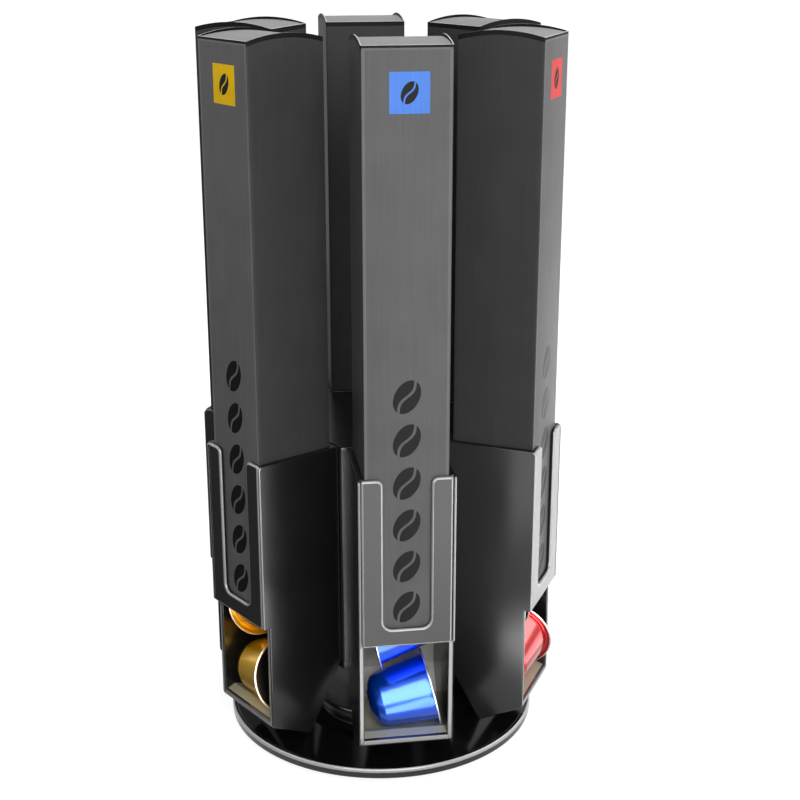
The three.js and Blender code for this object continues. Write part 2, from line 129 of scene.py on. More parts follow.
# Carton sleeve; its loop has sides longer than LONG_SIDE in steps
SLEEVE_HALF, SLEEVE_BACK, SLEEVE_FRONT, SLEEVE_BOTTOM, SLEEVE_TOP = 18.5, 43.2, 81.2, 75.85, 332.85
BOARD, SLEEVE_CROWN, SLEEVE_CORNER, SLEEVE_INNER_CORNER = 0.5, 2.6, 0.55, 0.08
LONG_SIDE, SLEEVE_STEPS, LID_STEPS = 10, 20, 24
LID_SUNK, LID_CROWN, LID_GAP, LID_FLAP, LID_FOLD = 0.3, 1.7, 0.12, 7.0, 0.4
FRONT_PANEL, OUTER_PANEL, INNER_PANEL = 1.0, 0.0, -1.0

# Capsule: its outline runs out along the foil, round the flange and the body, over the dome to the nose
CAPSULE_TILT = math.radians(13.0)
CAPSULE_FOIL, CAPSULE_DEPTH, CAPSULE_HEIGHT = 13.68, 66.0, 43.83
STACK_DEPTH, STACK_HEIGHT, STACK_RISE = 62.2, 71.83, 28.0
FOIL_LINE = [(0.0, 0.3), (14.6, 0.3), (16.2, 0.16)]
FLANGE_LINE = [(16.9, 0.12, 0.1), (17.4, 0.0, 0.2), (18.3, 0.0, 0.44), (18.3, 0.9, 0.44), (17.3, 0.9, 0.3)]
BODY_LINE = [(17.0, 0.6, 0.25), (15.8, 0.6, 0.5), (15.5, 2.4, 1.0), (12.75, 23.2, 1.2)]
DOME_START, DOME_RADIUS, DOME_RISE, DOME_STEPS = 23.0, 12.9, 6.8, 8
DOME_FROM, DOME_TO = math.radians(25.0), math.radians(64.0)
NOSE_LINE = [(4.7, 29.5, 0.5), (4.2, 28.7, 0.4)]
NOSE_MIDDLE = (0.0, 28.6)
CURL_RADIUS, FOIL_EDGE, FOIL_HEIGHT = 17.6, 17.45, 0.35

# Print on a sleeve: a label and a row of beans on its front. Drawn with it are dark bands under its top
# edges, and a paler line inside the front's top and side edges that is a painted highlight
LABEL_HALF, LABEL_MIDDLE, LABEL_SHIFT = 8.15, 314.6, 0.9
LABEL_BEAN_LENGTH, LABEL_BEAN_WIDTH = 9.4, 6.4
BEAN_FIRST, BEAN_LAST, BEAN_PITCH, BEAN_LENGTH, BEAN_WIDTH = 92.0, 189.0, 19.4, 15.6, 10.8
BEAN_LEAN, CREASE_SWING, CREASE_HALF = math.radians(28.0), 0.22, 0.11
BAND_HEIGHT, FRONT_BAND_HEIGHT, PAINTED_HIGHLIGHT_LINE_WIDTH = 2.0, 1.0, 0.8

# Detail of the materials: the least and the most shade, and the strength and millimetres of a bump
STREAK_STRETCH, FIBRE_STRETCH, STREAK_HEIGHT = (1, 1, 0.03), (1, 1, 0.35), 0.4
PLASTIC_SHADES, METAL_SHADES = (0.88, 1.12), (0.94, 1.06)
GRAIN_HEIGHT, BOARD_BUMP, ANODISED_BUMP = 0.05, (0.18, 0.06), (0.05, 0.05)
BOARD_GLOSS, CURL_SHARE, CURL_WHITE = 0.04, 0.35, 0.45

# Colours
BLACK, CHARCOAL = (0.005, 0.005, 0.0055), (0.01, 0.01, 0.0105)
CARTON_GREY = (0.131, 0.131, 0.133, 1)
# Outer panels of a sleeve other than the front: a darker grey, painted shade
PAINTED_SHADE_SIDE_GREY = (0.045, 0.045, 0.046, 1)
# A paler line inside the top and side edges of a sleeve's front: a painted highlight where the board's
# edges catch the light
PAINTED_HIGHLIGHT_LINE_GREY = (0.18, 0.18, 0.18, 1)
INSIDE_GREY = (0.3, 0.29, 0.27, 1)
PRINT_BLACK = (0.004, 0.004, 0.004, 1)
LABEL_COLOURS = {
    "blue": (0.11, 0.3, 0.95, 1),
    "red": (0.76, 0.08, 0.08, 1),
    "green": (0.09, 0.42, 0.14, 1),
    "violet": (0.27, 0.13, 0.6, 1),
    "copper": (0.8, 0.28, 0.07, 1),
    "gold": (1.0, 0.62, 0.0, 1),
}
CAPSULE_COLOURS = {
    "blue": (0.0, 0.066, 0.56),
    "red": (0.42, 0.01, 0.012),
    "green": (0.02, 0.18, 0.05),
    "violet": (0.11, 0.035, 0.26),
    "copper": (0.45, 0.13, 0.025),
    "gold": (0.78, 0.44, 0.0),
}
COLOURS = list(CAPSULE_COLOURS)

# Stage, in metres: lamps light the object, and cards show only in reflections
MIDDLE = (0.0, 0.0, 0.16)
# Lamps: name, place, size and power
LAMPS = [
    ("key", (0.1, -1.5, 0.95), (0.9, 0.9), 19.5),
    ("overhead", (0.0, 0.0, 1.6), (1.0, 1.0), 5.6),
    ("right", (1.4, -0.05, 0.4), (0.6, 1.0), 7.0),
    ("back left", (-0.95, 0.95, 0.6), (0.6, 1.0), 6.0),
    ("back right", (0.95, 0.95, 0.6), (0.6, 1.0), 6.0),
]
# Standing cards: name, place, what they face, size and brightness
CARDS = [
    ("front card", (-0.1, -1.25, 0.8), (-0.1, 0.0, 0.8), (1.8, 1.6), 11.0),
    ("left card", (-1.3, 0.0, 1.05), (0.0, 0.0, 1.05), (1.5, 1.1), 5.0),
    ("right card", (1.3, 0.0, 1.05), (0.0, 0.0, 1.05), (1.5, 1.1), 8.0),
]
# Cards that lie on the floor and face up: name, place, size and brightness
FLOOR_CARDS = [
    ("near floor card", (0.3, -0.205), (0.6, 0.17), 6.0),
    ("capsule card", (-0.016, -0.21), (0.032, 0.18), 8.5),
    ("left floor card", (-0.235, -0.35), (0.23, 0.3), 2.4),
    ("far floor card", (0.48, -0.695), (1.04, 0.81), 9.5),
    ("right floor card", (0.88, 0.3), (1.45, 0.9), 2.6),
]
CARD_HEIGHT, SHEET_HEIGHT = 0.003, 0.001
# Black sheets: from and to across, from and to along
BLACK_SHEETS = [((-1.0, -0.09), (-0.9, 0.9)), ((-0.09, -0.034), (-0.9, -0.1))]
FLOOR_HALF, FLOOR_GLOW, AMBIENT = 8.0, 0.85, 0.12

# Camera: its place in millimetres, and how far it is turned right and down
CAMERA_PLACE = (-92.6, -661.0, 383.7)
CAMERA_TURN, CAMERA_DIP = math.radians(8.79), math.radians(18.45)


# Meshes
def linked(name, data):
    """A new object in the scene, for this mesh, lamp or camera."""
    made = bpy.data.objects.new(name, data)
    bpy.context.scene.collection.objects.link(made)
    return made


def solid(name, points, faces):
    """One closed solid from points in millimetres, with its doubles merged and its faces outwards."""
    mesh = bpy.data.meshes.new(name)
    mesh.from_pydata([Vector(p) * MM for p in points], [], faces)
    shape = bmesh.new()
    shape.from_mesh(mesh)
    bmesh.ops.remove_doubles(shape, verts=shape.verts, dist=TINY)
    bmesh.ops.recalc_face_normals(shape, faces=shape.faces)
    shape.to_mesh(mesh)
    shape.free()
    return linked(name, mesh)


def around(radius, turn, middle=(0, 0)):
    return middle[0] + radius * math.cos(turn), middle[1] + radius * math.sin(turn)


def arc(middle, radius, start, end, steps=ARC_STEPS):
    return [around(radius, start + (end - start) * i / steps, middle) for i in range(steps + 1)]


def circle(radius, middle=(0, 0), steps=ARC_STEPS):
    return arc(middle, radius, 0, math.tau, steps)[:-1]


def rectangle(across, up):
    return [(across[0], up[0]), (across[1], up[0]), (across[1], up[1]), (across[0], up[1])]


def hexagon(apothem, corner=COLUMN_CORNER):
    reach = apothem / math.cos(math.pi / CHUTES)
    return rounded([(*point, corner) for point in circle(reach, steps=CHUTES)])


def rounded(corners, steps=CORNER_STEPS):
    """A closed outline, with an arc in place of each corner that has a radius."""
    made = []
    for i, (across, up, *given) in enumerate(corners):
        here = Vector((across, up))
        if not given or given[0] == 0:
            made.append((across, up))
            continue
        before = (Vector(corners[i - 1][:2]) - here).normalized()
        after = (Vector(corners[(i + 1) % len(corners)][:2]) - here).normalized()
        half = before.angle(after) / 2
        middle = here + (before + after).normalized() * given[0] / math.sin(half)
        first, last = [here + way * given[0] / math.tan(half) - middle for way in (before, after)]
        start = math.atan2(first.y, first.x)
        sweep = (math.atan2(last.y, last.x) - start + math.pi) % math.tau - math.pi
        made += arc(middle, given[0], start, start + sweep, steps)
    return made


def turned(name, profile, sides=ROUND_SIDES, steps=CORNER_STEPS):
    """An outline of (radius, height) turned about Z. It is closed, or starts and ends on the axis."""
    points, rings = [], []
    for radius, height in rounded(profile, steps):
        if radius < TINY:
            rings.append([len(points)] * sides)
            points.append((0, 0, height))
        else:
            rings.append(range(len(points), len(points) + sides))
            points += [(*place, height) for place in circle(radius, steps=sides)]
    faces = []
    for lower, upper in zip(rings, rings[1:] + rings[:1]):
        for i in range(sides):
            j = (i + 1) % sides
            face = list(dict.fromkeys([lower[i], lower[j], upper[j], upper[i]]))
            if len(face) > 2:
                faces.append(face)
    return solid(name, points, faces)


def upright(across, up, height):
    return across, up, height


def across_chute(depth, height, side):
    return side, -depth, height


def facing_out(side, height, depth):
    return side, -depth, height


def band(low, high, count):
    """The faces between two rings of points, from the numbers of their first points."""
    return [[low + i, low + (i + 1) % count, high + (i + 1) % count, high + i] for i in range(count)]


def prism(name, outline, low, high, place=upright):
    """An outline made solid between two distances; `place` turns (across, up, distance) into x, y, z."""
    count = len(outline)
    points = [place(a, b, c) for c in (low, high) for a, b in outline]
    ends = [list(range(count)), list(range(count, 2 * count))]
    return solid(name, points, ends + band(0, count, count))


def block(name, sides, depths, heights):
    return prism(name, rectangle(sides, heights), *depths, facing_out)


def settled(piece):
    """Replaces the piece's mesh by what its modifiers make of it."""
    graph = bpy.context.evaluated_depsgraph_get()
    shape = piece.evaluated_get(graph)
    made = bpy.data.meshes.new_from_object(shape, preserve_all_data_layers=True, depsgraph=graph)
    old = piece.data
    piece.modifiers.clear()
    piece.data = made
    bpy.data.meshes.remove(old)
    return piece


def combined(piece, others, operation):
    for other in others:
        step = piece.modifiers.new("combined", "BOOLEAN")
        step.operation = operation
        step.solver = "EXACT"
        step.object = other
        settled(piece)
        bpy.data.objects.remove(other)
    return piece


def cut(piece, *others):
    return combined(piece, others, "DIFFERENCE")


def joined(piece, *others):
    return combined(piece, others, "UNION")


def edges_rounded(piece, radius, sharpest=ROUNDED_ANGLE, segments=3):
    """Rounds each sharp edge by a radius in millimetres, or by what a function of its middle gives."""
    shape = bmesh.new()
    shape.from_mesh(piece.data)
    bmesh.ops.dissolve_limit(shape, angle_limit=MERGED_ANGLE, verts=shape.verts, edges=shape.edges)
    layers = shape.edges.layers.float
    weight = layers.get("bevel_weight_edge") or layers.new("bevel_weight_edge")
    for edge in shape.edges:
        if len(edge.link_faces) == 2 and edge.calc_face_angle(0) > sharpest:
            middle = (edge.verts[0].co + edge.verts[1].co) / 2 / MM
            edge[weight] = radius(middle) if callable(radius) else radius
    shape.to_mesh(piece.data)
    shape.free()
    step = piece.modifiers.new("rounding", "BEVEL")
    step.limit_method = "WEIGHT"
    step.offset_type = "OFFSET"
    step.width = MM
    step.segments = segments
    step.use_clamp_overlap = True
    return settled(piece)


def smoothed(mesh, sharpest):
    mesh.polygons.foreach_set("use_smooth", [True] * len(mesh.polygons))
    mesh.set_sharp_from_angle(angle=sharpest)


def shaded(piece):
    """Smooth shading that keeps sharp edges and flat faces flat."""
    smoothed(piece.data, SHARP_ANGLE)
    step = piece.modifiers.new("flat faces", "WEIGHTED_NORMAL")
    step.keep_sharp = True
    return settled(piece)


# Node trees
def add_node(tree, kind, values=(), **settings):
    """A node with its settings made, and its inputs set to values or linked from other nodes' outputs."""
    made = tree.nodes.new(kind)
    for name, value in settings.items():
        setattr(made, name, value)
    for name, value in dict(values).items():
        if isinstance(value, bpy.types.NodeSocket):
            tree.links.new(value, made.inputs[name])
        else:
            made.inputs[name].default_value = value
    return made


def output_of(tree, kind, values=(), output=0, **settings):
    return add_node(tree, kind, values, **settings).outputs[output]


def work_out(tree, operation, *values):
    return output_of(tree, "ShaderNodeMath", enumerate(values), operation=operation)


def mixed(tree, mask, first, second):
    return output_of(tree, "ShaderNodeMix", {0: mask, 6: first, 7: second}, 2, data_type="RGBA")


def between(tree, value, low, high, start=0.0, end=1.0):
    """The value, which runs from start to end, spread between low and high."""
    values = {"Value": value, "From Min": start, "From Max": end, "To Min": low, "To Max": high}
    return output_of(tree, "ShaderNodeMapRange", values)


def noise(tree, place, scale, detail=3.0, roughness=0.5):
    values = {"Vector": place, "Scale": scale, "Detail": detail, "Roughness": roughness}
    return output_of(tree, "ShaderNodeTexNoise", values, "Fac")


def stretched(tree, place, scale):
    return output_of(tree, "ShaderNodeVectorMath", {0: place, 1: scale}, operation="MULTIPLY")


def new_group(name, inputs, outputs, kind="ShaderNodeTree"):
    """A node group with named inputs (name, kind, value) and outputs (name, kind)."""
    tree = bpy.data.node_groups.new(name, kind)
    for title, socket, *value in inputs:
        made = tree.interface.new_socket(title, in_out="INPUT", socket_type="NodeSocket" + socket)
        if value:
            made.default_value = value[0]
    for title, socket in outputs:
        tree.interface.new_socket(title, in_out="OUTPUT", socket_type="NodeSocket" + socket)
    return tree, tree.nodes.new("NodeGroupInput").outputs, tree.nodes.new("NodeGroupOutput").inputs


def put_out(tree, out, values):
    for title, value in values.items():
        tree.links.new(value, out[title])


ROUGHNESS_INPUTS = [("Least roughness", "Float", 0.2), ("Most roughness", "Float", 0.35)]
SKIN_OUTPUTS = [("Roughness", "Float"), ("Height", "Float"), ("Shade", "Float")]


def moulded_skin_group():
    """Moulded plastic: a fine grain, and soft handling marks that vary the gloss."""
    inputs = [("Place", "Vector"), ("Grain scale", "Float", 2500.0), ("Mark scale", "Float", 45.0)]
    tree, given, out = new_group("Moulded skin", inputs + ROUGHNESS_INPUTS, SKIN_OUTPUTS)
    marks = noise(tree, given["Place"], given["Mark scale"], detail=5.0, roughness=0.6)
    grain = noise(tree, given["Place"], given["Grain scale"], detail=2.0)
    rough = between(tree, marks, given["Least roughness"], given["Most roughness"])
    shade = between(tree, marks, *PLASTIC_SHADES)
    put_out(tree, out, {"Roughness": rough, "Height": grain, "Shade": shade})
    return tree


def metal_grain_group():
    """Metal: a fine drawn grain and slow changes of gloss."""
    inputs = [("Place", "Vector"), ("Grain scale", "Float", 1800.0)]
    tree, given, out = new_group("Metal grain", inputs + ROUGHNESS_INPUTS, SKIN_OUTPUTS)
    fine = noise(tree, given["Place"], given["Grain scale"])
    slow = noise(tree, given["Place"], scale=90.0, detail=4.0)
    mean = work_out(tree, "MULTIPLY", work_out(tree, "ADD", fine, slow), 0.5)
    rough = between(tree, mean, given["Least roughness"], given["Most roughness"])
    shade = between(tree, slow, *METAL_SHADES)
    put_out(tree, out, {"Roughness": rough, "Height": fine, "Shade": shade})
    return tree


def board_fibre_group():
    """Printed board: faint upright streaks of ink, fibre specks and a soft mottle."""
    inputs = [("Place", "Vector"), ("Streak depth", "Float", 0.1), ("Fibre scale", "Float", 1400.0)]
    tree, given, out = new_group("Board fibre", inputs, SKIN_OUTPUTS[1:])
    place, work = given["Place"], partial(work_out, tree)
    streaks = noise(tree, stretched(tree, place, STREAK_STRETCH), scale=900.0, roughness=0.6)
    mottle = noise(tree, place, scale=60.0)
    fibres = noise(tree, stretched(tree, place, FIBRE_STRETCH), given["Fibre scale"], detail=2.0)
    away = work("SUBTRACT", work("ADD", streaks, mottle), 1.0)
    shade = work("MULTIPLY_ADD", away, given["Streak depth"], 1.0)
    height = work("ADD", fibres, work("MULTIPLY", streaks, STREAK_HEIGHT))
    put_out(tree, out, {"Shade": shade, "Height": height})
    return tree


def sleeve_print_and_painted_light_group():
    """Print on a sleeve, with a paler line inside the front's top and side edges that is a painted
    highlight.
    Panel holds the millimetres across the panel, the millimetres below its top edge, and the kind of panel."""
    titles = ("Front", "Inside", "Band", "Edge line", "Label", "Bean", "Label bean")
    outputs = [(title, "Float") for title in titles]
    tree, given, out = new_group("Sleeve print", [("Panel", "Vector")], outputs)
    work = partial(work_out, tree)

    def times(*values):
        return reduce(partial(work, "MULTIPLY"), values)

    def bean(across, up, width, length):
        """A leaning oval with a curved crease left out of its middle."""
        sine, cosine = math.sin(BEAN_LEAN), math.cos(BEAN_LEAN)
        wide = work("MULTIPLY_ADD", up, -sine / width * 2, times(across, cosine / width * 2))
        long = work("MULTIPLY_ADD", up, cosine / length * 2, times(across, sine / length * 2))
        square = work("ADD", times(wide, wide), times(long, long))
        crease = times(work("SINE", times(long, math.pi)), CREASE_SWING)
        apart = work("ABSOLUTE", work("SUBTRACT", wide, crease))
        return times(work("LESS_THAN", square, 1.0), work("GREATER_THAN", apart, CREASE_HALF))

    parts = add_node(tree, "ShaderNodeSeparateXYZ", {0: given["Panel"]}).outputs
    across, below, kind = parts["X"], parts["Y"], parts["Z"]
    front = work("GREATER_THAN", kind, FRONT_PANEL / 2)
    inside = work("LESS_THAN", kind, INNER_PANEL / 2)
    up = work("SUBTRACT", SLEEVE_TOP, below)
    band_end = work("MULTIPLY_ADD", front, FRONT_BAND_HEIGHT - BAND_HEIGHT, BAND_HEIGHT)
    band = work("LESS_THAN", below, band_end)
    # A paler line inside the front's top and side edges: painted highlight
    under_band = work("LESS_THAN", below, FRONT_BAND_HEIGHT + PAINTED_HIGHLIGHT_LINE_WIDTH)
    near_corner = work("GREATER_THAN", work("ABSOLUTE", across), SLEEVE_HALF - 2 * PAINTED_HIGHLIGHT_LINE_WIDTH)
    painted_highlight_line = times(front, work("MAXIMUM", under_band, near_corner))
    label_across = work("SUBTRACT", across, LABEL_SHIFT)
    label_up = work("SUBTRACT", up, LABEL_MIDDLE)
    away = [work("ABSOLUTE", value) for value in (label_across, label_up)]
    label = times(front, *[work("LESS_THAN", value, LABEL_HALF) for value in away])
    label_bean = times(label, bean(label_across, label_up, LABEL_BEAN_WIDTH, LABEL_BEAN_LENGTH))
    reach = BEAN_PITCH / 2
    along = work("WRAP", work("SUBTRACT", up, BEAN_FIRST), reach, -reach)
    low = work("GREATER_THAN", up, BEAN_FIRST - reach)
    high = work("LESS_THAN", up, BEAN_LAST + reach)
    row_bean = times(front, low, high, bean(across, along, BEAN_WIDTH, BEAN_LENGTH))
    masks = (front, inside, band, painted_highlight_line, label, row_bean, label_bean)
    put_out(tree, out, dict(zip(titles, masks)))
    return tree


MOULDED_SKIN = moulded_skin_group()
METAL_GRAIN = metal_grain_group()
BOARD_FIBRE = board_fibre_group()
SLEEVE_PRINT_AND_PAINTED_LIGHT = sleeve_print_and_painted_light_group()


# Materials
def new_material(name, group, values, bump, **sockets):
    """A material whose shader has its plain sockets set, with the group placed on Object coordinates."""
    made = bpy.data.materials.new(name)
    made.use_nodes = True
    tree = made.node_tree
    shader = tree.nodes["Principled BSDF"]
    for title, value in sockets.items():
        shader.inputs[title.replace("_", " ")].default_value = value
    place = output_of(tree, "ShaderNodeTexCoord", output="Object")
    effect = add_node(tree, "ShaderNodeGroup", node_tree=group)
    for title, value in values.items():
        effect.inputs[title].default_value = value
    tree.links.new(place, effect.inputs["Place"])
    strength, height = bump
    values = {"Strength": strength, "Distance": height * MM, "Height": effect.outputs["Height"]}
    tree.links.new(output_of(tree, "ShaderNodeBump", values), shader.inputs["Normal"])
    if "Roughness" in effect.outputs:
        tree.links.new(effect.outputs["Roughness"], shader.inputs["Roughness"])
    return made, tree, shader, effect


def tinted(tree, shader, effect, colour):
    """The colour, lighter and darker over the surface as the group's shade says."""
    values = {0: colour, "Scale": effect.outputs["Shade"]}
    shade = output_of(tree, "ShaderNodeVectorMath", values, operation="SCALE")
    tree.links.new(shade, shader.inputs["Base Color"])


def plain_material(colour, *given, **sockets):
    made, *parts = new_material(*given, **sockets)
    tinted(*parts, colour)
    return made


def plastic(name, colour, least, most, grain, grain_scale=2500.0, **sockets):
    values = {"Least roughness": least, "Most roughness": most, "Grain scale": grain_scale}
    return plain_material(colour, name, MOULDED_SKIN, values, (grain, GRAIN_HEIGHT), **sockets)


def metal(name, colour, least, most, grain):
    values = {"Least roughness": least, "Most roughness": most}
    return plain_material(colour, name, METAL_GRAIN, values, (grain, GRAIN_HEIGHT), Metallic=1.0)


def board(name, colour, streak, roughness):
    sockets = {"Roughness": roughness, "Specular_IOR_Level": BOARD_GLOSS}
    return plain_material(colour, name, BOARD_FIBRE, {"Streak depth": streak}, BOARD_BUMP, **sockets)


def printed_board(name, label_colour):
    """The printed board of a sleeve: grey front, other outer panels painted darker as painted shade, black
    bands under the top edges, a paler line inside the front's edges that is a painted highlight, a
    coloured label and a row of beans. Its inside is unprinted."""
    values, gloss = {"Streak depth": 0.3}, {"Specular_IOR_Level": BOARD_GLOSS}
    made, tree, shader, effect = new_material(name, BOARD_FIBRE, values, BOARD_BUMP, **gloss)
    panel = output_of(tree, "ShaderNodeAttribute", output="Vector", attribute_name="panel")
    printed = add_node(tree, "ShaderNodeGroup", {"Panel": panel}, node_tree=SLEEVE_PRINT_AND_PAINTED_LIGHT).outputs
    # Outer panels start in the side grey, painted shade; the front, the inside, the painted highlight line
    # and the label are laid over it
    ink, inks = PAINTED_SHADE_SIDE_GREY, (CARTON_GREY, INSIDE_GREY, PAINTED_HIGHLIGHT_LINE_GREY, label_colour)
    for mask, colour in zip(("Front", "Inside", "Edge line", "Label"), inks):
        ink = mixed(tree, printed[mask], ink, colour)
    black = work_out(tree, "MAXIMUM", printed["Bean"], printed["Label bean"])
    ink = mixed(tree, work_out(tree, "MAXIMUM", black, printed["Band"]), ink, PRINT_BLACK)
    tinted(tree, shader, effect, ink)
    tree.links.new(between(tree, black, low=0.52, high=0.42), shader.inputs["Roughness"])
    return made


def anodised(name, colour):
    """Lacquered aluminium: the curled edge of the flange is paler than the rest."""
    values = {"Least roughness": 0.18, "Most roughness": 0.28}
    sockets = {"Metallic": 0.6, "Coat_Weight": 0.4, "Coat_Roughness": 0.12}
    made, tree, shader, effect = new_material(name, METAL_GRAIN, values, ANODISED_BUMP, **sockets)
    curl = output_of(tree, "ShaderNodeAttribute", output="Fac", attribute_name="curl")
    pale = [CURL_SHARE * part + CURL_WHITE for part in colour]
    tinted(tree, shader, effect, mixed(tree, curl, (*colour, 1), (*pale, 1)))
    return made


# A plastic or metal has a colour, its least and most roughness and the strength of its grain. A board
# has a colour, the depth of its streaks and its roughness.
GLOSS_BLACK = plastic("gloss black plastic", BLACK, 0.05, 0.12, 0.02)
CHUTE_BLACK = plastic("satin black plastic", BLACK, 0.18, 0.28, 0.06)
COVER_GREY = plastic("satin charcoal plastic", CHARCOAL, 0.24, 0.34, 0.05, Specular_IOR_Level=0.2)
POCKET_GREY = plastic("satin grey plastic", (0.48, 0.47, 0.4), 0.3, 0.42, 0.1, Specular_IOR_Level=0.25)
# A darker, yellower copy of the pocket grey for up-facing pocket floors: painted shade
SHADED_LEDGE_GREY = plastic("satin ledge plastic", (0.34, 0.33, 0.25), 0.35, 0.45, 0.1, Specular_IOR_Level=0.05)
# Pale plastic on frames and edges that face the front: a painted highlight
PAINTED_HIGHLIGHT_EDGE = plastic("pale edge plastic", (0.3, 0.3, 0.3), 0.15, 0.25, 0.05)
# Pale plastic on the base's upper rim edge: a painted highlight
PAINTED_HIGHLIGHT_RIM = plastic("bright rim plastic", (0.5, 0.5, 0.5), 0.15, 0.25, 0.05)
RUBBER = plastic("black rubber", (0.02, 0.02, 0.02), 0.7, 0.9, 0.5, grain_scale=1200.0)
NYLON = plastic("natural nylon", (0.72, 0.69, 0.6), 0.4, 0.55, 0.1)
ZINC_STEEL = metal("zinc plated steel", (0.6, 0.6, 0.62), 0.22, 0.42, 0.15)
# The bearing races' steel painted nearly black: painted shade for the dark space under the hub
STEEL_PAINTED_DARK = metal("blackened steel", (0.07, 0.07, 0.075), 0.28, 0.45, 0.1)
BALL_STEEL = metal("polished steel", (0.72, 0.72, 0.73), 0.05, 0.12, 0.02)
# Silver foil painted near black: a painted reflection of the dark chute walls it faces
FOIL_PAINTED_DARK = metal("silver foil", (0.08, 0.08, 0.075), 0.2, 0.32, 0.15)
LID_BOARD = board("pale lid board", (0.35, 0.35, 0.35), 0.12, 0.6)
CUT_BOARD = board("cut board edge", (0.72, 0.71, 0.69), 0.1, 0.8)
SLEEVE_BOARDS = {c: printed_board(f"printed board {c}", LABEL_COLOURS[c]) for c in COLOURS}
ANODISED = {c: anodised(f"anodised {c}", CAPSULE_COLOURS[c]) for c in COLOURS}


# Geometry node trees
def copy_tree(name, sizes, place_of, turn_of):
    """A tree that copies one object to Count places and ends in plain meshes with their material."""
    inputs = [("Copied", "Object"), ("Count", "Int", 1), ("Finish", "Material")] + sizes
    tree, given, out = new_group(name, inputs, [("Geometry", "Geometry")], "GeometryNodeTree")
    index, work = output_of(tree, "GeometryNodeInputIndex"), partial(work_out, tree)
    place = output_of(tree, "ShaderNodeCombineXYZ", place_of(work, given, index))
    turn = output_of(tree, "ShaderNodeCombineXYZ", turn_of(work, given, index))
    points = output_of(tree, "GeometryNodePoints", {"Count": given["Count"], "Position": place})
    copied = output_of(tree, "GeometryNodeObjectInfo", {"Object": given["Copied"]}, "Geometry")
    values = {"Points": points, "Instance": copied, "Rotation": turn}
    copies = output_of(tree, "GeometryNodeInstanceOnPoints", values)
    plain = output_of(tree, "GeometryNodeRealizeInstances", {0: copies})
    values = {"Geometry": plain, "Material": given["Finish"]}
    return tree, given, out, output_of(tree, "GeometryNodeSetMaterial", values)


def ring_tree():
    """Copies stand on a circle about the axis of rotation, each turned to face outwards."""

    def angle(work, given, index):
        return work("MULTIPLY_ADD", index, work("DIVIDE", math.tau, given["Count"]), given["First angle"])

    def place_of(work, given, index):
        turn = angle(work, given, index)
        across, up = [work("MULTIPLY", given["Radius"], work(way, turn)) for way in ("COSINE", "SINE")]
        return {"X": across, "Y": up, "Z": given["Height"]}

    def turn_of(work, given, index):
        return {"Z": angle(work, given, index)}

    sizes = [(title, "Float", 0.0) for title in ("Radius", "Height", "First angle")]
    tree, _, out, copies = copy_tree("Ring of copies", sizes, place_of, turn_of)
    put_out(tree, out, {"Geometry": copies})
    return tree


def stack_tree():
    """Capsules lie on each other, each one turned end for end against the one below."""

    def side(work, index):
        """-1 for the first copy, 1 for the second, and so on by turns."""
        return work("SUBTRACT", work("MULTIPLY", work("MODULO", index, 2.0), 2.0), 1.0)

    def place_of(work, given, index):
        across = work("MULTIPLY", side(work, index), given["Foil reach"])
        return {"X": across, "Y": 0.0, "Z": work("MULTIPLY", index, given["Rise"])}

    def turn_of(work, given, index):
        lean = work("MULTIPLY", side(work, index), work("MULTIPLY", given["Tilt"], -1.0))
        flip = work("MULTIPLY", work("SUBTRACT", 1.0, side(work, index)), math.pi / 2)
        return {"Y": lean, "Z": flip}

    sizes = [(title, "Float", 0.0) for title in ("Rise", "Foil reach", "Tilt")]
    sizes.append(("Foil finish", "Material"))
    tree, given, out, copies = copy_tree("Stack of capsules", sizes, place_of, turn_of)
    foil = output_of(tree, "GeometryNodeInputNamedAttribute", {"Name": FINISH}, data_type="INT")
    values = {"Geometry": copies, "Selection": foil, "Material": given["Foil finish"]}
    put_out(tree, out, {"Geometry": output_of(tree, "GeometryNodeSetMaterial", values)})
    return tree


def grown(tree, values):
    """The plain mesh that a geometry node tree makes from these inputs."""
    carrier = linked("copies", bpy.data.meshes.new("copies"))
    step = carrier.modifiers.new("copies", "NODES")
    step.node_group = tree
    for item in tree.interface.items_tree:
        if item.item_type == "SOCKET" and item.in_out == "INPUT":
            step[item.identifier] = values[item.name]
    settled(carrier)
    bpy.data.objects.remove(values["Copied"])
    return carrier


RING = ring_tree()
STACK = stack_tree()


def ring_of(copied, count, material, radius, height, first_angle):
    values = {"Copied": copied, "Count": count, "Finish": material, "Radius": radius * MM}
    return grown(RING, values | {"Height": height * MM, "First angle": first_angle})


# Pieces
def mark_faces(mesh, finish_of):
    """Stores, for each face, the number of the material that it takes."""
    mark = mesh.attributes.new(FINISH, "INT", "FACE")
    mark.data.foreach_set("value", [int(finish_of(face)) for face in mesh.polygons])


def finished(piece, name, materials, body, slot, replaced):
    """A piece with its name and materials, on its body, in place of the nodes that it replaces."""
    mesh = piece.data
    piece.name = mesh.name = name
    mesh.materials.clear()
    for material in materials:
        mesh.materials.append(material)
    mark = mesh.attributes.get(FINISH)
    picks = [face.value for face in mark.data] if mark else [0] * len(mesh.polygons)
    mesh.polygons.foreach_set("material_index", picks)
    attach(piece, body)
    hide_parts(*replaced)


def moved(side, depth, height):
    return Matrix.Translation(Vector((side, -depth, height)) * MM)


def chute_turn(number):
    return Matrix.Rotation(math.tau * (number - 1) / CHUTES, 4, "Z")


def at_chute(pattern, number):
    """A copy of a piece that was drawn at chute 1, turned to its own chute."""
    made = linked(pattern.name, pattern.data.copy())
    made.data.transform(chute_turn(number))
    return made


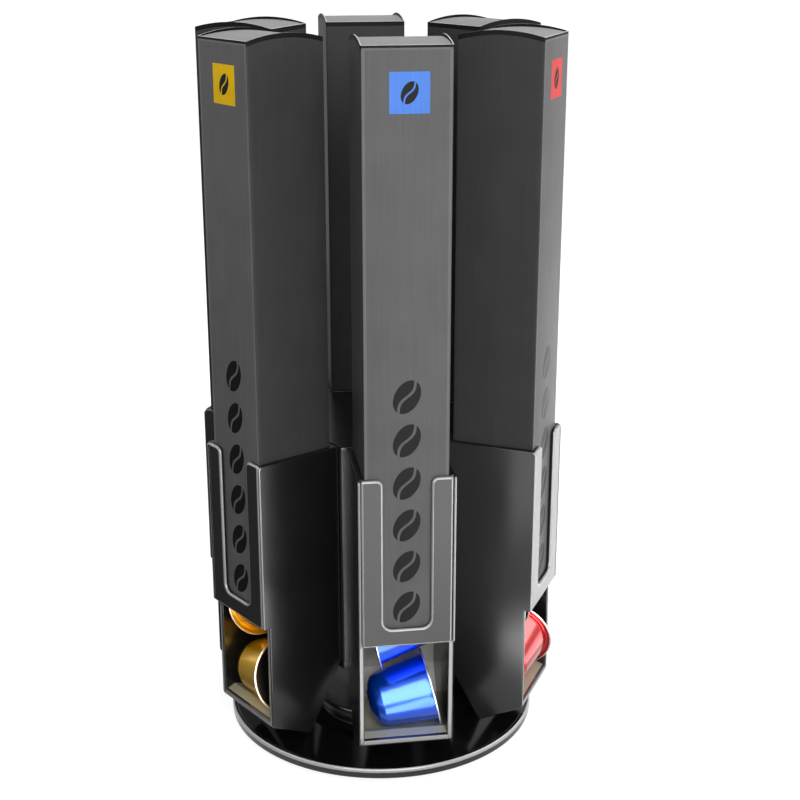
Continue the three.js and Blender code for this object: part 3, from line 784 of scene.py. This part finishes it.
def base_plate():
    profile = [
        (BOLT_BORE, BOLT_RECESS_TOP), (BOLT_RECESS_RADIUS, BOLT_RECESS_TOP),
        (BOLT_RECESS_RADIUS, BASE_BOTTOM, SMALL), (BASE_RADIUS, BASE_BOTTOM, WIDE),
        (BASE_RADIUS, RIM_HIGHLIGHT_LINE), (BASE_RADIUS, BASE_TOP + RIM_HEIGHT, RIM_ROUNDING),
        (BASE_RADIUS - RIM_WIDTH, BASE_TOP + RIM_HEIGHT, BROAD),
        (BASE_RADIUS - RIM_WIDTH - RIM_HEIGHT / 2, BASE_TOP, SMALL), (BOSS_RADIUS, BASE_TOP, WIDE),
        (BOSS_RADIUS, BOSS_TOP, BROAD), (BOLT_BORE, BOSS_TOP, SMALL),
    ]
    plate = turned("base plate", profile)
    seats = []
    for i in range(FEET):
        ring = circle(FOOT_RADIUS + FOOT_GAP, around(FOOT_CIRCLE, math.tau * (i + 0.5) / FEET))
        seats.append(prism("foot seat", ring, 0, FOOT_RECESS))
    shaded(cut(plate, *seats))
    mark_faces(plate.data, rim_painted_highlight)
    return plate


def rim_painted_highlight(face):
    """The upper outside edge of the base is pale: a painted highlight."""
    outside = Vector(face.center[:2]).length / MM > BASE_RADIUS - RIM_WIDTH / 2
    return outside and face.center.z / MM > RIM_HIGHLIGHT_LINE and face.normal.z < RIM_UPWARDS


def foot():
    """A rubber foot with a rounded edge and a shallow cup under it."""
    profile = [
        (0, FOOT_TOP), (0, CUP_DEPTH), (FOOT_RADIUS * CUP_END, CUP_DEPTH, SOFT),
        (FOOT_RADIUS * CUP_START, 0, SMALL), (FOOT_RADIUS, 0, SOFT), (FOOT_RADIUS, FOOT_TOP, FINE),
    ]
    return shaded(turned("foot", profile, FOOT_SIDES))


def pivot_bolt():
    profile = [
        (0, BOLT_HEAD_BOTTOM), (BOLT_HEAD_RADIUS, BOLT_HEAD_BOTTOM, SOFT),
        (BOLT_HEAD_RADIUS, BOLT_HEAD_TOP, BOLT_EDGE), (BOLT_RADIUS, BOLT_HEAD_TOP, FINE),
        (BOLT_RADIUS, BOLT_TOP, SOFT), (0, BOLT_TOP),
    ]
    bolt = turned("bolt", profile, BOLT_SIDES)
    socket = prism("socket", hexagon(SOCKET_RADIUS, 0), 0, BOLT_HEAD_BOTTOM + SOCKET_DEPTH)
    return shaded(cut(bolt, socket))


def lock_nut():
    nut = prism("nut", hexagon(NUT_APOTHEM, NUT_CORNER), NUT_BOTTOM, NUT_TOP)
    flat, corner = NUT_APOTHEM - NUT_CHAMFER, NUT_APOTHEM / math.cos(math.pi / CHUTES) + FINE
    chamfer = [
        (0, NUT_BOTTOM - NUT_CHAMFER), (flat, NUT_BOTTOM - NUT_CHAMFER),
        (corner, NUT_BOTTOM + NUT_CHAMFER), (corner, NUT_TOP - NUT_CHAMFER),
        (flat, NUT_TOP + NUT_CHAMFER), (0, NUT_TOP + NUT_CHAMFER),
    ]
    combined(nut, [turned("chamfer", chamfer, BOLT_SIDES)], "INTERSECT")
    return shaded(cut(nut, prism("bore", circle(BOLT_BORE), NUT_BOTTOM - FAR_PAST, NUT_TOP + FAR_PAST)))


def plain_ring(name, inner, outer, bottom, top, edge):
    corners = rectangle((inner, outer), (bottom, top))
    return turned(name, [(*corner, edge) for corner in corners], steps=3)


def race(flat_side, way):
    """A bearing race: `way` is 1 with its groove above its flat side, and -1 below."""
    inner, outer = BALL_CIRCLE - RACE_WIDTH / 2, BALL_CIRCLE + RACE_WIDTH / 2
    face = flat_side + way * RACE_THICKNESS
    middle = face + way * (BALL_RADIUS - GROOVE_DEPTH)
    half = way * math.acos(1 - GROOVE_DEPTH / BALL_RADIUS)
    bottom = -way * math.pi / 2
    groove = arc((BALL_CIRCLE, middle), BALL_RADIUS, bottom + half, bottom - half, GROOVE_STEPS)
    corners = [(inner, flat_side, SMALL), (outer, flat_side, SMALL), (outer, face, SMALL)]
    return shaded(turned("race", corners + groove + [(inner, face, SMALL)]))


def ball_cage():
    inner, outer = BALL_CIRCLE - CAGE_WIDTH / 2, BALL_CIRCLE + CAGE_WIDTH / 2
    bottom, top = BALL_HEIGHT - CAGE_THICKNESS / 2, BALL_HEIGHT + CAGE_THICKNESS / 2
    cage = plain_ring("cage", inner, outer, bottom, top, SMALL)
    rings = [circle(CAGE_POCKET, middle) for middle in circle(BALL_CIRCLE, steps=BALLS)]
    return shaded(cut(cage, *[prism("pocket", ring, bottom - PAST, top + PAST) for ring in rings]))


def ball():
    half_round = arc((0, 0), BALL_RADIUS, -math.pi / 2, math.pi / 2, BALL_STEPS)[1:-1]
    profile = [(0, -BALL_RADIUS)] + half_round + [(0, BALL_RADIUS)]
    return shaded(turned("ball", profile, BALL_SIDES))


def hub():
    bowl_top, plug_top = COLUMN_BOTTOM - SHOULDER_HEIGHT / 2, COLUMN_BOTTOM + PLUG_HEIGHT
    inside, floor_top = HUB_RADIUS - HUB_WALL, HUB_BOTTOM + HUB_FLOOR
    profile = [
        (HUB_BORE, HUB_BOTTOM, SMALL), (HUB_RADIUS, HUB_BOTTOM, HUB_ROUNDING), (HUB_RADIUS, bowl_top),
        (inside, bowl_top), (inside, floor_top, WIDE), (BOSS_RADIUS, floor_top, WIDE),
        (BOSS_RADIUS, HUB_BOSS_TOP, MEDIUM), (HUB_BORE, HUB_BOSS_TOP, SMALL),
    ]
    bowl = turned("hub", profile)
    shoulder = prism("shoulder", hexagon(COLUMN_DEPTH), COLUMN_BOTTOM - SHOULDER_HEIGHT, COLUMN_BOTTOM)
    plug = prism("plug", hexagon(COLUMN_DEPTH - COLUMN_WALL - PLUG_GAP), bowl_top, plug_top)
    joined(edges_rounded(shoulder, MEDIUM), edges_rounded(plug, MEDIUM))
    hollow = circle(inside - STEP, steps=ROUND_SIDES)
    cut(shoulder, prism("hollow", hollow, floor_top + FAR_PAST, plug_top + FAR_PAST))
    return shaded(joined(bowl, shoulder))


def column():
    tube = prism("column", hexagon(COLUMN_DEPTH), COLUMN_BOTTOM, COLUMN_TOP)
    inside = hexagon(COLUMN_DEPTH - COLUMN_WALL, COLUMN_CORNER / 2)
    cut(tube, prism("inside", inside, COLUMN_BOTTOM - FAR_PAST, COLUMN_TOP + FAR_PAST))
    edges_rounded(tube, COLUMN_ROUNDING)
    ring = circle(MOUNT_RADIUS + PLUG_GAP, (0, MOUNT_HEIGHT))
    for number in range(1, CHUTES + 1):
        hole = prism("hole", ring, COLUMN_DEPTH - 2 * COLUMN_WALL, COLUMN_DEPTH + FAR_PAST, facing_out)
        hole.data.transform(chute_turn(number))
        cut(tube, hole)
    return shaded(tube)


def column_cap():
    outer = COLUMN_DEPTH - COLUMN_WALL - PLUG_GAP
    plug_bottom = COLUMN_TOP - CAP_PLUG_HEIGHT
    lid = prism("cap", hexagon(COLUMN_DEPTH), COLUMN_TOP, CAP_TOP)
    edges_rounded(lid, lambda middle: CAP_ROUNDING if middle.z > CAP_TOP - 1 else SMALL)
    plug = prism("cap plug", hexagon(outer), plug_bottom, COLUMN_TOP + SINK)
    cut(plug, prism("cap hollow", hexagon(outer - COLUMN_WALL), plug_bottom - FAR_PAST, COLUMN_TOP))
    return shaded(joined(lid, plug))


def chute_wall(inner, outer):
    """One side wall, with the shallow step that the front cover sits in."""
    outline = [
        (COVER_FRONT, CHUTE_TOP, WALL_CORNER), (COVER_FRONT, WINDOW_TOP, SHOULDER_CORNER),
        (WINDOW_FRONT, WINDOW_TOP), (WINDOW_FRONT, WINDOW_BOTTOM, WALL_CORNER),
        (KEEL_DEPTH, KEEL_HEIGHT, WALL_CORNER), (HEEL_DEPTH, HEEL_HEIGHT), (CHUTE_BACK, HEEL_TOP),
        (CHUTE_BACK, CHUTE_TOP),
    ]
    wall = prism("chute wall", rounded(outline), inner, outer, across_chute)
    sides = (inner - PAST, HALF_COVER_ROOM) if inner > 0 else (-HALF_COVER_ROOM, outer + PAST)
    depths, heights = (COVER_ROOM_BACK, COVER_FRONT + FAR_PAST), (WINDOW_TOP - PAST, CHUTE_TOP + FAR_PAST)
    cut(wall, block("cover room", sides, depths, heights))

    def radius_at(middle):
        """Edges that run on smoothly from each other have the same radius."""
        depth, side, near = -middle.y, abs(middle.x), 0.1
        if middle.z < WINDOW_TOP - near and depth > CHUTE_BACK + near:
            return FRAME_ROUNDING
        if side > HALF_CHUTE - near and depth > CHUTE_BACK + near:
            return WALL_OUTER_ROUNDING
        if abs(side - HALF_COVER_ROOM) < near and depth > COVER_ROOM_BACK + near:
            return WALL_INNER_ROUNDING
        return WALL_ROUNDING

    return edges_rounded(wall, radius_at)


def chute_middle():
    """Back plate, cradle and lip as one side view between the walls."""
    middle = (CRADLE_DEPTH, CRADLE_HEIGHT)
    cradle = arc(middle, CRADLE_RADIUS, CRADLE_START, CRADLE_END)
    under = arc(middle, CRADLE_RADIUS + CRADLE_WALL, CRADLE_END, CRADLE_START)
    end_depth, end_height = cradle[-1]
    back, front = CHUTE_INSIDE + LEDGE_WIDTH, WINDOW_FRONT - STEP
    rise = (end_depth - back) / math.tan(math.pi + CRADLE_END)
    heel_share = (under[0][1] - KEEL_HEIGHT) / (HEEL_HEIGHT - KEEL_HEIGHT)
    slope_depth = KEEL_DEPTH + (HEEL_DEPTH - KEEL_DEPTH) * heel_share
    outline = [
        (front, LIP_FRONT_TOP), (LIP_BEAD_DEPTH, LIP_BEAD_TOP), *cradle, (back, end_height + rise),
        (back, LEDGE_TOP), (CHUTE_INSIDE, LEDGE_TOP), (CHUTE_INSIDE, CHUTE_TOP - STEP),
        (CHUTE_BACK + STEP, CHUTE_TOP - STEP), (CHUTE_BACK + STEP, HEEL_TOP + STEP),
        (HEEL_DEPTH + STEP, HEEL_HEIGHT + STEP), (slope_depth + STEP, under[0][1]), *under,
        (front - CRADLE_WALL, WINDOW_BOTTOM), (front - CRADLE_WALL, LIP_BOTTOM + STEP),
        (front, WINDOW_BOTTOM + STEP),
    ]
    made = prism("chute middle", outline, -HALF_POCKET - SINK, HALF_POCKET + SINK, across_chute)
    return edges_rounded(made, lambda place: 0.0 if abs(place.x) > HALF_POCKET else MIDDLE_ROUNDING)


def chute():
    added = [chute_wall(-HALF_CHUTE, -HALF_POCKET), chute_wall(HALF_POCKET, HALF_CHUTE)]
    depths = (CHUTE_INSIDE + LEDGE_WIDTH / 2, WINDOW_FRONT - LEDGE_GAP)
    for side in (-1, 1):
        sides = sorted((side * (HALF_POCKET - LEDGE_WIDTH), side * (HALF_POCKET + SINK / 2)))
        ledge = block("ledge", sides, depths, (LEDGE_TOP - LEDGE_THICKNESS, LEDGE_TOP - STEP))
        added.append(edges_rounded(ledge, FINE))
    mount, pilot = [
        prism("mount", circle(radius, (0, MOUNT_HEIGHT)), CHUTE_BACK - reach, CHUTE_BACK + SINK, facing_out)
        for radius, reach in ((MOUNT_RADIUS, MOUNT_REACH), (PILOT_RADIUS, 2 * MOUNT_REACH))
    ]
    made = shaded(cut(joined(chute_middle(), *added, mount), pilot))
    mark_faces(made.data, chute_finish)
    return made


def chute_finish(face):
    """The pocket under the sleeve is grey, with a darker, yellower grey on its up-facing floor as painted
    shade; the edges that face the front are pale, a painted highlight.
    """
    x, y, z = face.center / MM
    depth, to_front, to_side = -y, -face.normal.y, abs(face.normal.x)
    in_pocket = abs(x) < HALF_POCKET - POCKET_MARGIN and depth < LIP_BEAD_DEPTH
    if in_pocket and LIP_BOTTOM < z < LEDGE_TOP - POCKET_TOP_MARGIN:
        outwards = face.normal.y * (y + CRADLE_DEPTH) + face.normal.z * (z - CRADLE_HEIGHT)
        if outwards > 0:
            return BLACK_FACE
        # Up-facing floor faces take the darker ledge grey, painted shade
        return SHADED_LEDGE_FACE if z < POCKET_FLOOR_TOP and face.normal.z > FACING_UP else POCKET_FACE
    # The frame's faces straight ahead, and the rounded front corners beside the cover, are painted pale as
    # a highlight
    if z < WINDOW_TOP:
        pale = depth > WINDOW_FRONT - FRAME_ROUNDING and to_front > STRAIGHT
    else:
        pale = depth > COVER_FRONT - 1 and to_front > LEAST_FRONT and LEAST_SIDE < to_side < STRAIGHT
    return PAINTED_HIGHLIGHT_FACE if pale else BLACK_FACE


def front_cover():
    outline = [
        (-HALF_COVER, WINDOW_TOP, COVER_CORNER), (HALF_COVER, WINDOW_TOP, COVER_CORNER),
        (HALF_COVER, CHUTE_TOP, COVER_CORNER), (SLOT_HALF, CHUTE_TOP, LEG_CORNER),
        (SLOT_HALF, SLOT_BOTTOM, SLOT_CORNER), (-SLOT_HALF, SLOT_BOTTOM, SLOT_CORNER),
        (-SLOT_HALF, CHUTE_TOP, LEG_CORNER), (-HALF_COVER, CHUTE_TOP, COVER_CORNER),
    ]
    plate = prism("cover", rounded(outline), COVER_BACK, COVER_FRONT, facing_out)

    def radius_at(middle):
        return COVER_ROUNDING if -middle.y > COVER_FRONT - BROAD else SMALL

    edges_rounded(plate, radius_at, COVER_ANGLE, segments=4)
    half, depths = HALF_POCKET - RETURN_GAP, (COVER_BACK - RETURN_DEPTH, COVER_BACK + SINK)
    returned = block("return", (-half, half), depths, (WINDOW_TOP + STEP, WINDOW_TOP + RETURN_HEIGHT))
    shaded(joined(plate, edges_rounded(returned, FINE)))

    def is_painted_highlight_edge(face):
        """The rounded edges round the front are pale: a painted highlight."""
        in_front = -face.center.y / MM > (COVER_FRONT + COVER_BACK) / 2
        return in_front and COVER_EDGE_LEAST < -face.normal.y < COVER_EDGE_MOST

    mark_faces(plate.data, is_painted_highlight_edge)
    return plate


def screw():
    """A pan head screw with a cross recess, lying along X with its head inwards."""
    head, end = SCREW_SEAT - SCREW_HEAD_HEIGHT, SCREW_SEAT + SCREW_LENGTH
    profile = [
        (0, head), (SCREW_HEAD_RADIUS, head, SCREW_HEAD_CORNER),
        (SCREW_HEAD_RADIUS, SCREW_SEAT, SCREW_CORNER), (SCREW_RADIUS, SCREW_SEAT, SCREW_CORNER),
        (SCREW_RADIUS, end - SCREW_POINT), (0, end),
    ]
    made = turned("screw", profile, SCREW_SIDES)
    long, short = (-CROSS_REACH, CROSS_REACH), (-CROSS_HALF, CROSS_HALF)
    for arm in (rectangle(long, short), rectangle(short, long)):
        cut(made, prism("cross", arm, head - PAST, head + CROSS_DEPTH))
    made.data.transform(Matrix.Rotation(math.pi / 2, 4, "Y"))
    return shaded(made)


def sleeve_height(depth):
    share = (2 * depth - SLEEVE_FRONT - SLEEVE_BACK) / (SLEEVE_FRONT - SLEEVE_BACK)
    return SLEEVE_TOP + SLEEVE_CROWN * max(0.0, 1 - share**2)


def sleeve_loop(inset, corner):
    """A level loop round the sleeve, with its long sides in short steps so that they follow the crown."""
    half, back, front = SLEEVE_HALF - inset, SLEEVE_BACK + inset, SLEEVE_FRONT - inset
    corners = [(half, back, corner), (half, front, corner), (-half, front, corner), (-half, back, corner)]
    loop = rounded(corners, FINE_CORNER_STEPS)
    stepped = []
    for i, (across, depth) in enumerate(loop):
        stepped.append((across, depth))
        run = loop[(i + 1) % len(loop)][1] - depth
        if abs(run) > LONG_SIDE:
            stepped += [(across, depth + run * j / SLEEVE_STEPS) for j in range(1, SLEEVE_STEPS)]
    return stepped


def sleeve():
    """A sleeve of board, open below: its sides end in a crown."""
    outer, inner = sleeve_loop(0, SLEEVE_CORNER), sleeve_loop(BOARD, SLEEVE_INNER_CORNER)
    count = len(outer)
    points = [(x, -r, SLEEVE_BOTTOM) for x, r in outer] + [(x, -r, sleeve_height(r)) for x, r in outer]
    points += [(x, -r, sleeve_height(r)) for x, r in inner] + [(x, -r, SLEEVE_BOTTOM) for x, r in inner]
    bands = [band(ring * count, (ring + 1) % 4 * count, count) for ring in range(4)]
    made = solid("sleeve", points, sum(bands, []))
    mark_panels(made.data)
    smoothed(made.data, BOARD_ANGLE)
    return made


def mark_panels(mesh):
    """Stores, at each face corner, its place on the sleeve's panels for the print, and marks cut edges."""
    middle_depth = (SLEEVE_BACK + SLEEVE_FRONT) / 2
    panel = mesh.attributes.new("panel", "FLOAT_VECTOR", "CORNER")
    for face in mesh.polygons:
        x, y, _ = face.center / MM
        outwards = face.normal.x * x + face.normal.y * (y + middle_depth)
        kind = OUTER_PANEL if outwards > 0 else INNER_PANEL
        if face.normal.y < -CARTON_FRONT and -y > SLEEVE_FRONT - BOARD / 5:
            kind = FRONT_PANEL
        for corner in face.loop_indices:
            place = mesh.vertices[mesh.loops[corner].vertex_index].co / MM
            panel.data[corner].vector = (place.x, sleeve_height(-place.y) - place.z, kind)
    mark_faces(mesh, lambda face: abs(face.normal.z) > CUT_EDGE)


def sleeve_lid():
    """The lid between the sides, folded down behind the front and the back."""
    back, front = SLEEVE_BACK + BOARD + LID_GAP, SLEEVE_FRONT - BOARD - 2 * LID_GAP
    top = []
    for i in range(LID_STEPS + 1):
        share = 2 * i / LID_STEPS - 1
        fold = LID_FOLD if i in (0, LID_STEPS) else 0
        height = SLEEVE_TOP - LID_SUNK - fold + LID_CROWN * (1 - share**2)
        top.append((back + (front - back) * i / LID_STEPS, height))
    under = [(min(max(r, back + BOARD), front - BOARD), h - BOARD) for r, h in reversed(top)]
    low = SLEEVE_TOP - LID_FLAP
    outline = top + [(front, low), (front - BOARD, low)] + under + [(back + BOARD, low), (back, low)]
    half = SLEEVE_HALF - BOARD - LID_GAP
    return shaded(prism("lid", outline, -half, half, across_chute))


def capsule(sides):
    """A capsule that lies along X: its foil faces X and its nose points to -X."""
    turns = [DOME_FROM + (DOME_TO - DOME_FROM) * i / DOME_STEPS for i in range(DOME_STEPS + 1)]
    dome = [(DOME_RADIUS * math.cos(turn), DOME_START + DOME_RISE * math.sin(turn)) for turn in turns]
    shell = rounded(FLANGE_LINE + BODY_LINE + dome + NOSE_LINE, FINE_CORNER_STEPS)
    made = turned("capsule", FOIL_LINE + shell + [NOSE_MIDDLE], sides)
    mesh = made.data
    places = [(Vector(v.co[:2]).length / MM, v.co.z / MM) for v in mesh.vertices]
    curl = mesh.attributes.new("curl", "FLOAT", "POINT")
    curl.data.foreach_set("value", [float(radius > CURL_RADIUS) for radius, _ in places])
    is_foil = [radius <= FOIL_EDGE and height < FOIL_HEIGHT for radius, height in places]
    mark_faces(mesh, lambda face: all(is_foil[v] for v in face.vertices))
    mesh.transform(Matrix.Rotation(-math.pi / 2, 4, "Y"))
    smoothed(mesh, BOARD_ANGLE)
    return made


def lone_capsule():
    made = capsule(CAPSULE_SIDES)
    tilt = Matrix.Rotation(-CAPSULE_TILT, 4, "Y")
    made.data.transform(moved(CAPSULE_FOIL, CAPSULE_DEPTH, CAPSULE_HEIGHT) @ tilt)
    return made


# Build
def numbered(name, count):
    return [f"{name}_{i + 1}" for i in range(count)]


def build_base():
    finished(base_plate(), "base_disc", [GLOSS_BLACK, PAINTED_HIGHLIGHT_RIM], "base", "base_plastic", ["base_plate"])
    feet = ring_of(foot(), FEET, RUBBER, FOOT_CIRCLE, 0, math.pi / FEET)
    finished(feet, "rubber_feet", [RUBBER], "base", "rubber", numbered("foot", FEET))
    finished(pivot_bolt(), "bolt", [ZINC_STEEL], "base", "steel", ["pivot_bolt"])
    finished(race(LOWER_RACE_BOTTOM, 1), "race_below", [STEEL_PAINTED_DARK], "base", "steel", ["lower_race"])
    washer = shaded(plain_ring("washer", BOLT_BORE, WASHER_RADIUS, WASHER_BOTTOM, WASHER_TOP, FINE))
    finished(washer, "washer", [NYLON], "base", "nylon", ["thrust_washer"])
    finished(lock_nut(), "nut", [ZINC_STEEL], "base", "steel", ["lock_nut"])
    finished(ball_cage(), "cage", [NYLON], "ball_ring", "nylon", ["ball_cage"])
    balls = ring_of(ball(), BALLS, BALL_STEEL, BALL_CIRCLE, BALL_HEIGHT, 0.0)
    finished(balls, "bearing_balls", [BALL_STEEL], "ball_ring", "ball_steel", numbered("ball", BALLS))


def build_carousel():
    finished(race(UPPER_RACE_TOP, -1), "race_above", [STEEL_PAINTED_DARK], "carousel", "steel", ["upper_race"])
    finished(hub(), "hub_bowl", [CHUTE_BLACK], "carousel", "chute_plastic", ["hub"])
    finished(column(), "column_tube", [CHUTE_BLACK], "carousel", "chute_plastic", ["column"])
    finished(column_cap(), "column_lid", [CHUTE_BLACK], "carousel", "chute_plastic", ["column_cap"])
    screws = ring_of(screw(), CHUTES, ZINC_STEEL, 0, MOUNT_HEIGHT, -math.pi / 2)
    finished(screws, "chute_screws", [ZINC_STEEL], "carousel", "steel", numbered("chute_screw", CHUTES))


def capsule_stack(number, metals):
    """The capsules inside a sleeve, of which the lowest is the next to come out."""
    values = dict(zip(("Finish", "Foil finish"), metals), Copied=capsule(STACK_SIDES), Count=STACKED)
    values |= {"Rise": STACK_RISE * MM, "Foil reach": CAPSULE_FOIL * MM, "Tilt": CAPSULE_TILT}
    stack = grown(STACK, values)
    stack.data.transform(chute_turn(number) @ moved(0, STACK_DEPTH, STACK_HEIGHT))
    return stack


def build_chutes():
    patterns = [chute(), front_cover(), sleeve(), sleeve_lid(), lone_capsule()]
    shells, covers = [CHUTE_BLACK, POCKET_GREY, PAINTED_HIGHLIGHT_EDGE, SHADED_LEDGE_GREY], [COVER_GREY, PAINTED_HIGHLIGHT_EDGE]
    for number, colour in enumerate(COLOURS, 1):
        shell, cover, carton, lid, loose = [at_chute(pattern, number) for pattern in patterns]
        body, slot, capsule_body = f"sleeve_{number}", f"capsule_{colour}", f"capsule_{number}"
        metals, boards = [ANODISED[colour], FOIL_PAINTED_DARK], [SLEEVE_BOARDS[colour], CUT_BOARD]
        stack = capsule_stack(number, metals)
        rows = [
            (shell, "chute_shell", shells, "carousel", "chute_plastic", [f"chute_{number}"]),
            (cover, "cover", covers, "carousel", "cover_plastic", [f"front_cover_{number}"]),
            (carton, "carton", boards, body, "carton", [body]),
            (lid, "carton_lid", [LID_BOARD], body, "carton", []),
            (loose, "loose_capsule", metals, capsule_body, slot, [capsule_body]),
            (stack, "capsule_stack", metals, body, slot, [f"next_capsule_{number}"]),
        ]
        for piece, name, *given in rows:
            finished(piece, f"{name}_{number}", *given)
    for pattern in patterns:
        bpy.data.objects.remove(pattern)


# Stage
def sheet(name, across, along, height):
    """A level sheet seen from above, in metres."""
    mesh = bpy.data.meshes.new(name)
    mesh.from_pydata([(x, y, height) for x, y in rectangle(across, along)], [], [(0, 1, 2, 3)])
    return linked(name, mesh)


def seen_in_reflections(tree):
    """1 for what the camera, a reflection or glass sees, and 0 for light on the object."""
    path = add_node(tree, "ShaderNodeLightPath").outputs
    seen = work_out(tree, "MAXIMUM", path["Is Camera Ray"], path["Is Glossy Ray"])
    return work_out(tree, "MAXIMUM", seen, path["Is Transmission Ray"])


def add_floor():
    """A white floor that keeps a faint shadow, and is a little darker near the object."""
    floor = sheet("floor", (-FLOOR_HALF, FLOOR_HALF), (-FLOOR_HALF, FLOOR_HALF), 0.0)
    made = bpy.data.materials.new("white floor")
    made.use_nodes = True
    tree = made.node_tree
    tree.nodes.clear()
    matt = output_of(tree, "ShaderNodeBsdfDiffuse", {"Color": (0.3, 0.3, 0.3, 1)})
    place = output_of(tree, "ShaderNodeTexCoord", output="Object")
    away = output_of(tree, "ShaderNodeVectorMath", {0: place}, "Value", operation="LENGTH")
    glow = between(tree, away, FLOOR_GLOW, 1.0, start=0.15, end=0.5)
    glow = work_out(tree, "MULTIPLY", seen_in_reflections(tree), glow)
    glow = output_of(tree, "ShaderNodeEmission", {"Strength": glow})
    both = output_of(tree, "ShaderNodeAddShader", {0: matt, 1: glow})
    add_node(tree, "ShaderNodeOutputMaterial", {"Surface": both})
    floor.data.materials.append(made)


def add_black_sheets():
    """Black sheets on the floor to the left of the object, which only reflections show."""
    made = bpy.data.materials.new("black cloth")
    made.use_nodes = True
    made.node_tree.nodes["Principled BSDF"].inputs["Base Color"].default_value = (0.002, 0.002, 0.002, 1)
    for across, along in BLACK_SHEETS:
        flag = sheet("black sheet", across, along, SHEET_HEIGHT)
        flag.data.materials.append(made)
        flag.visible_camera = flag.visible_diffuse = flag.visible_shadow = flag.visible_transmission = False


def add_world():
    world = bpy.data.worlds.new("white studio")
    bpy.context.scene.world = world
    world.use_nodes = True
    tree = world.node_tree
    tree.nodes.clear()
    strength = between(tree, seen_in_reflections(tree), AMBIENT, 1.0)
    sky = output_of(tree, "ShaderNodeBackground", {"Color": (1, 1, 1, 1), "Strength": strength})
    add_node(tree, "ShaderNodeOutputWorld", {"Surface": sky})


def add_lamp(name, place, aim, size, power):
    data = bpy.data.lights.new(name, "AREA")
    data.shape = "RECTANGLE"
    data.size, data.size_y = size
    data.energy = power
    lamp = linked(name, data)
    lamp.location = place
    lamp.rotation_euler = (Vector(aim) - Vector(place)).to_track_quat("-Z", "Y").to_euler()
    lamp.visible_camera = False
    return lamp


def add_lights():
    """Soft lamps light the object, and bright cards, which only reflections show, draw its edges."""
    for name, place, size, power in LAMPS:
        add_lamp(name, place, MIDDLE, size, power).visible_glossy = False
    lying = [(name, (*place, CARD_HEIGHT), (*place, 1.0), *given) for name, place, *given in FLOOR_CARDS]
    for name, place, aim, size, radiance in CARDS + lying:
        card = add_lamp(name, place, aim, size, radiance * math.pi * size[0] * size[1])
        card.visible_diffuse = False


def add_camera():
    data = bpy.data.cameras.new("camera")
    data.lens, data.sensor_width = 66.53, 36.0
    data.clip_start, data.clip_end = 0.01, 100.0
    camera = linked("camera", data)
    level = math.cos(CAMERA_DIP)
    ahead = Vector((math.sin(CAMERA_TURN) * level, math.cos(CAMERA_TURN) * level, -math.sin(CAMERA_DIP)))
    camera.location = Vector(CAMERA_PLACE) * MM
    camera.rotation_euler = ahead.to_track_quat("-Z", "Y").to_euler()
    bpy.context.scene.camera = camera


add_camera()
build_base()
build_carousel()
build_chutes()
add_floor()
add_black_sheets()
add_world()
add_lights()
bpy.context.scene.view_settings.view_transform = "Standard"
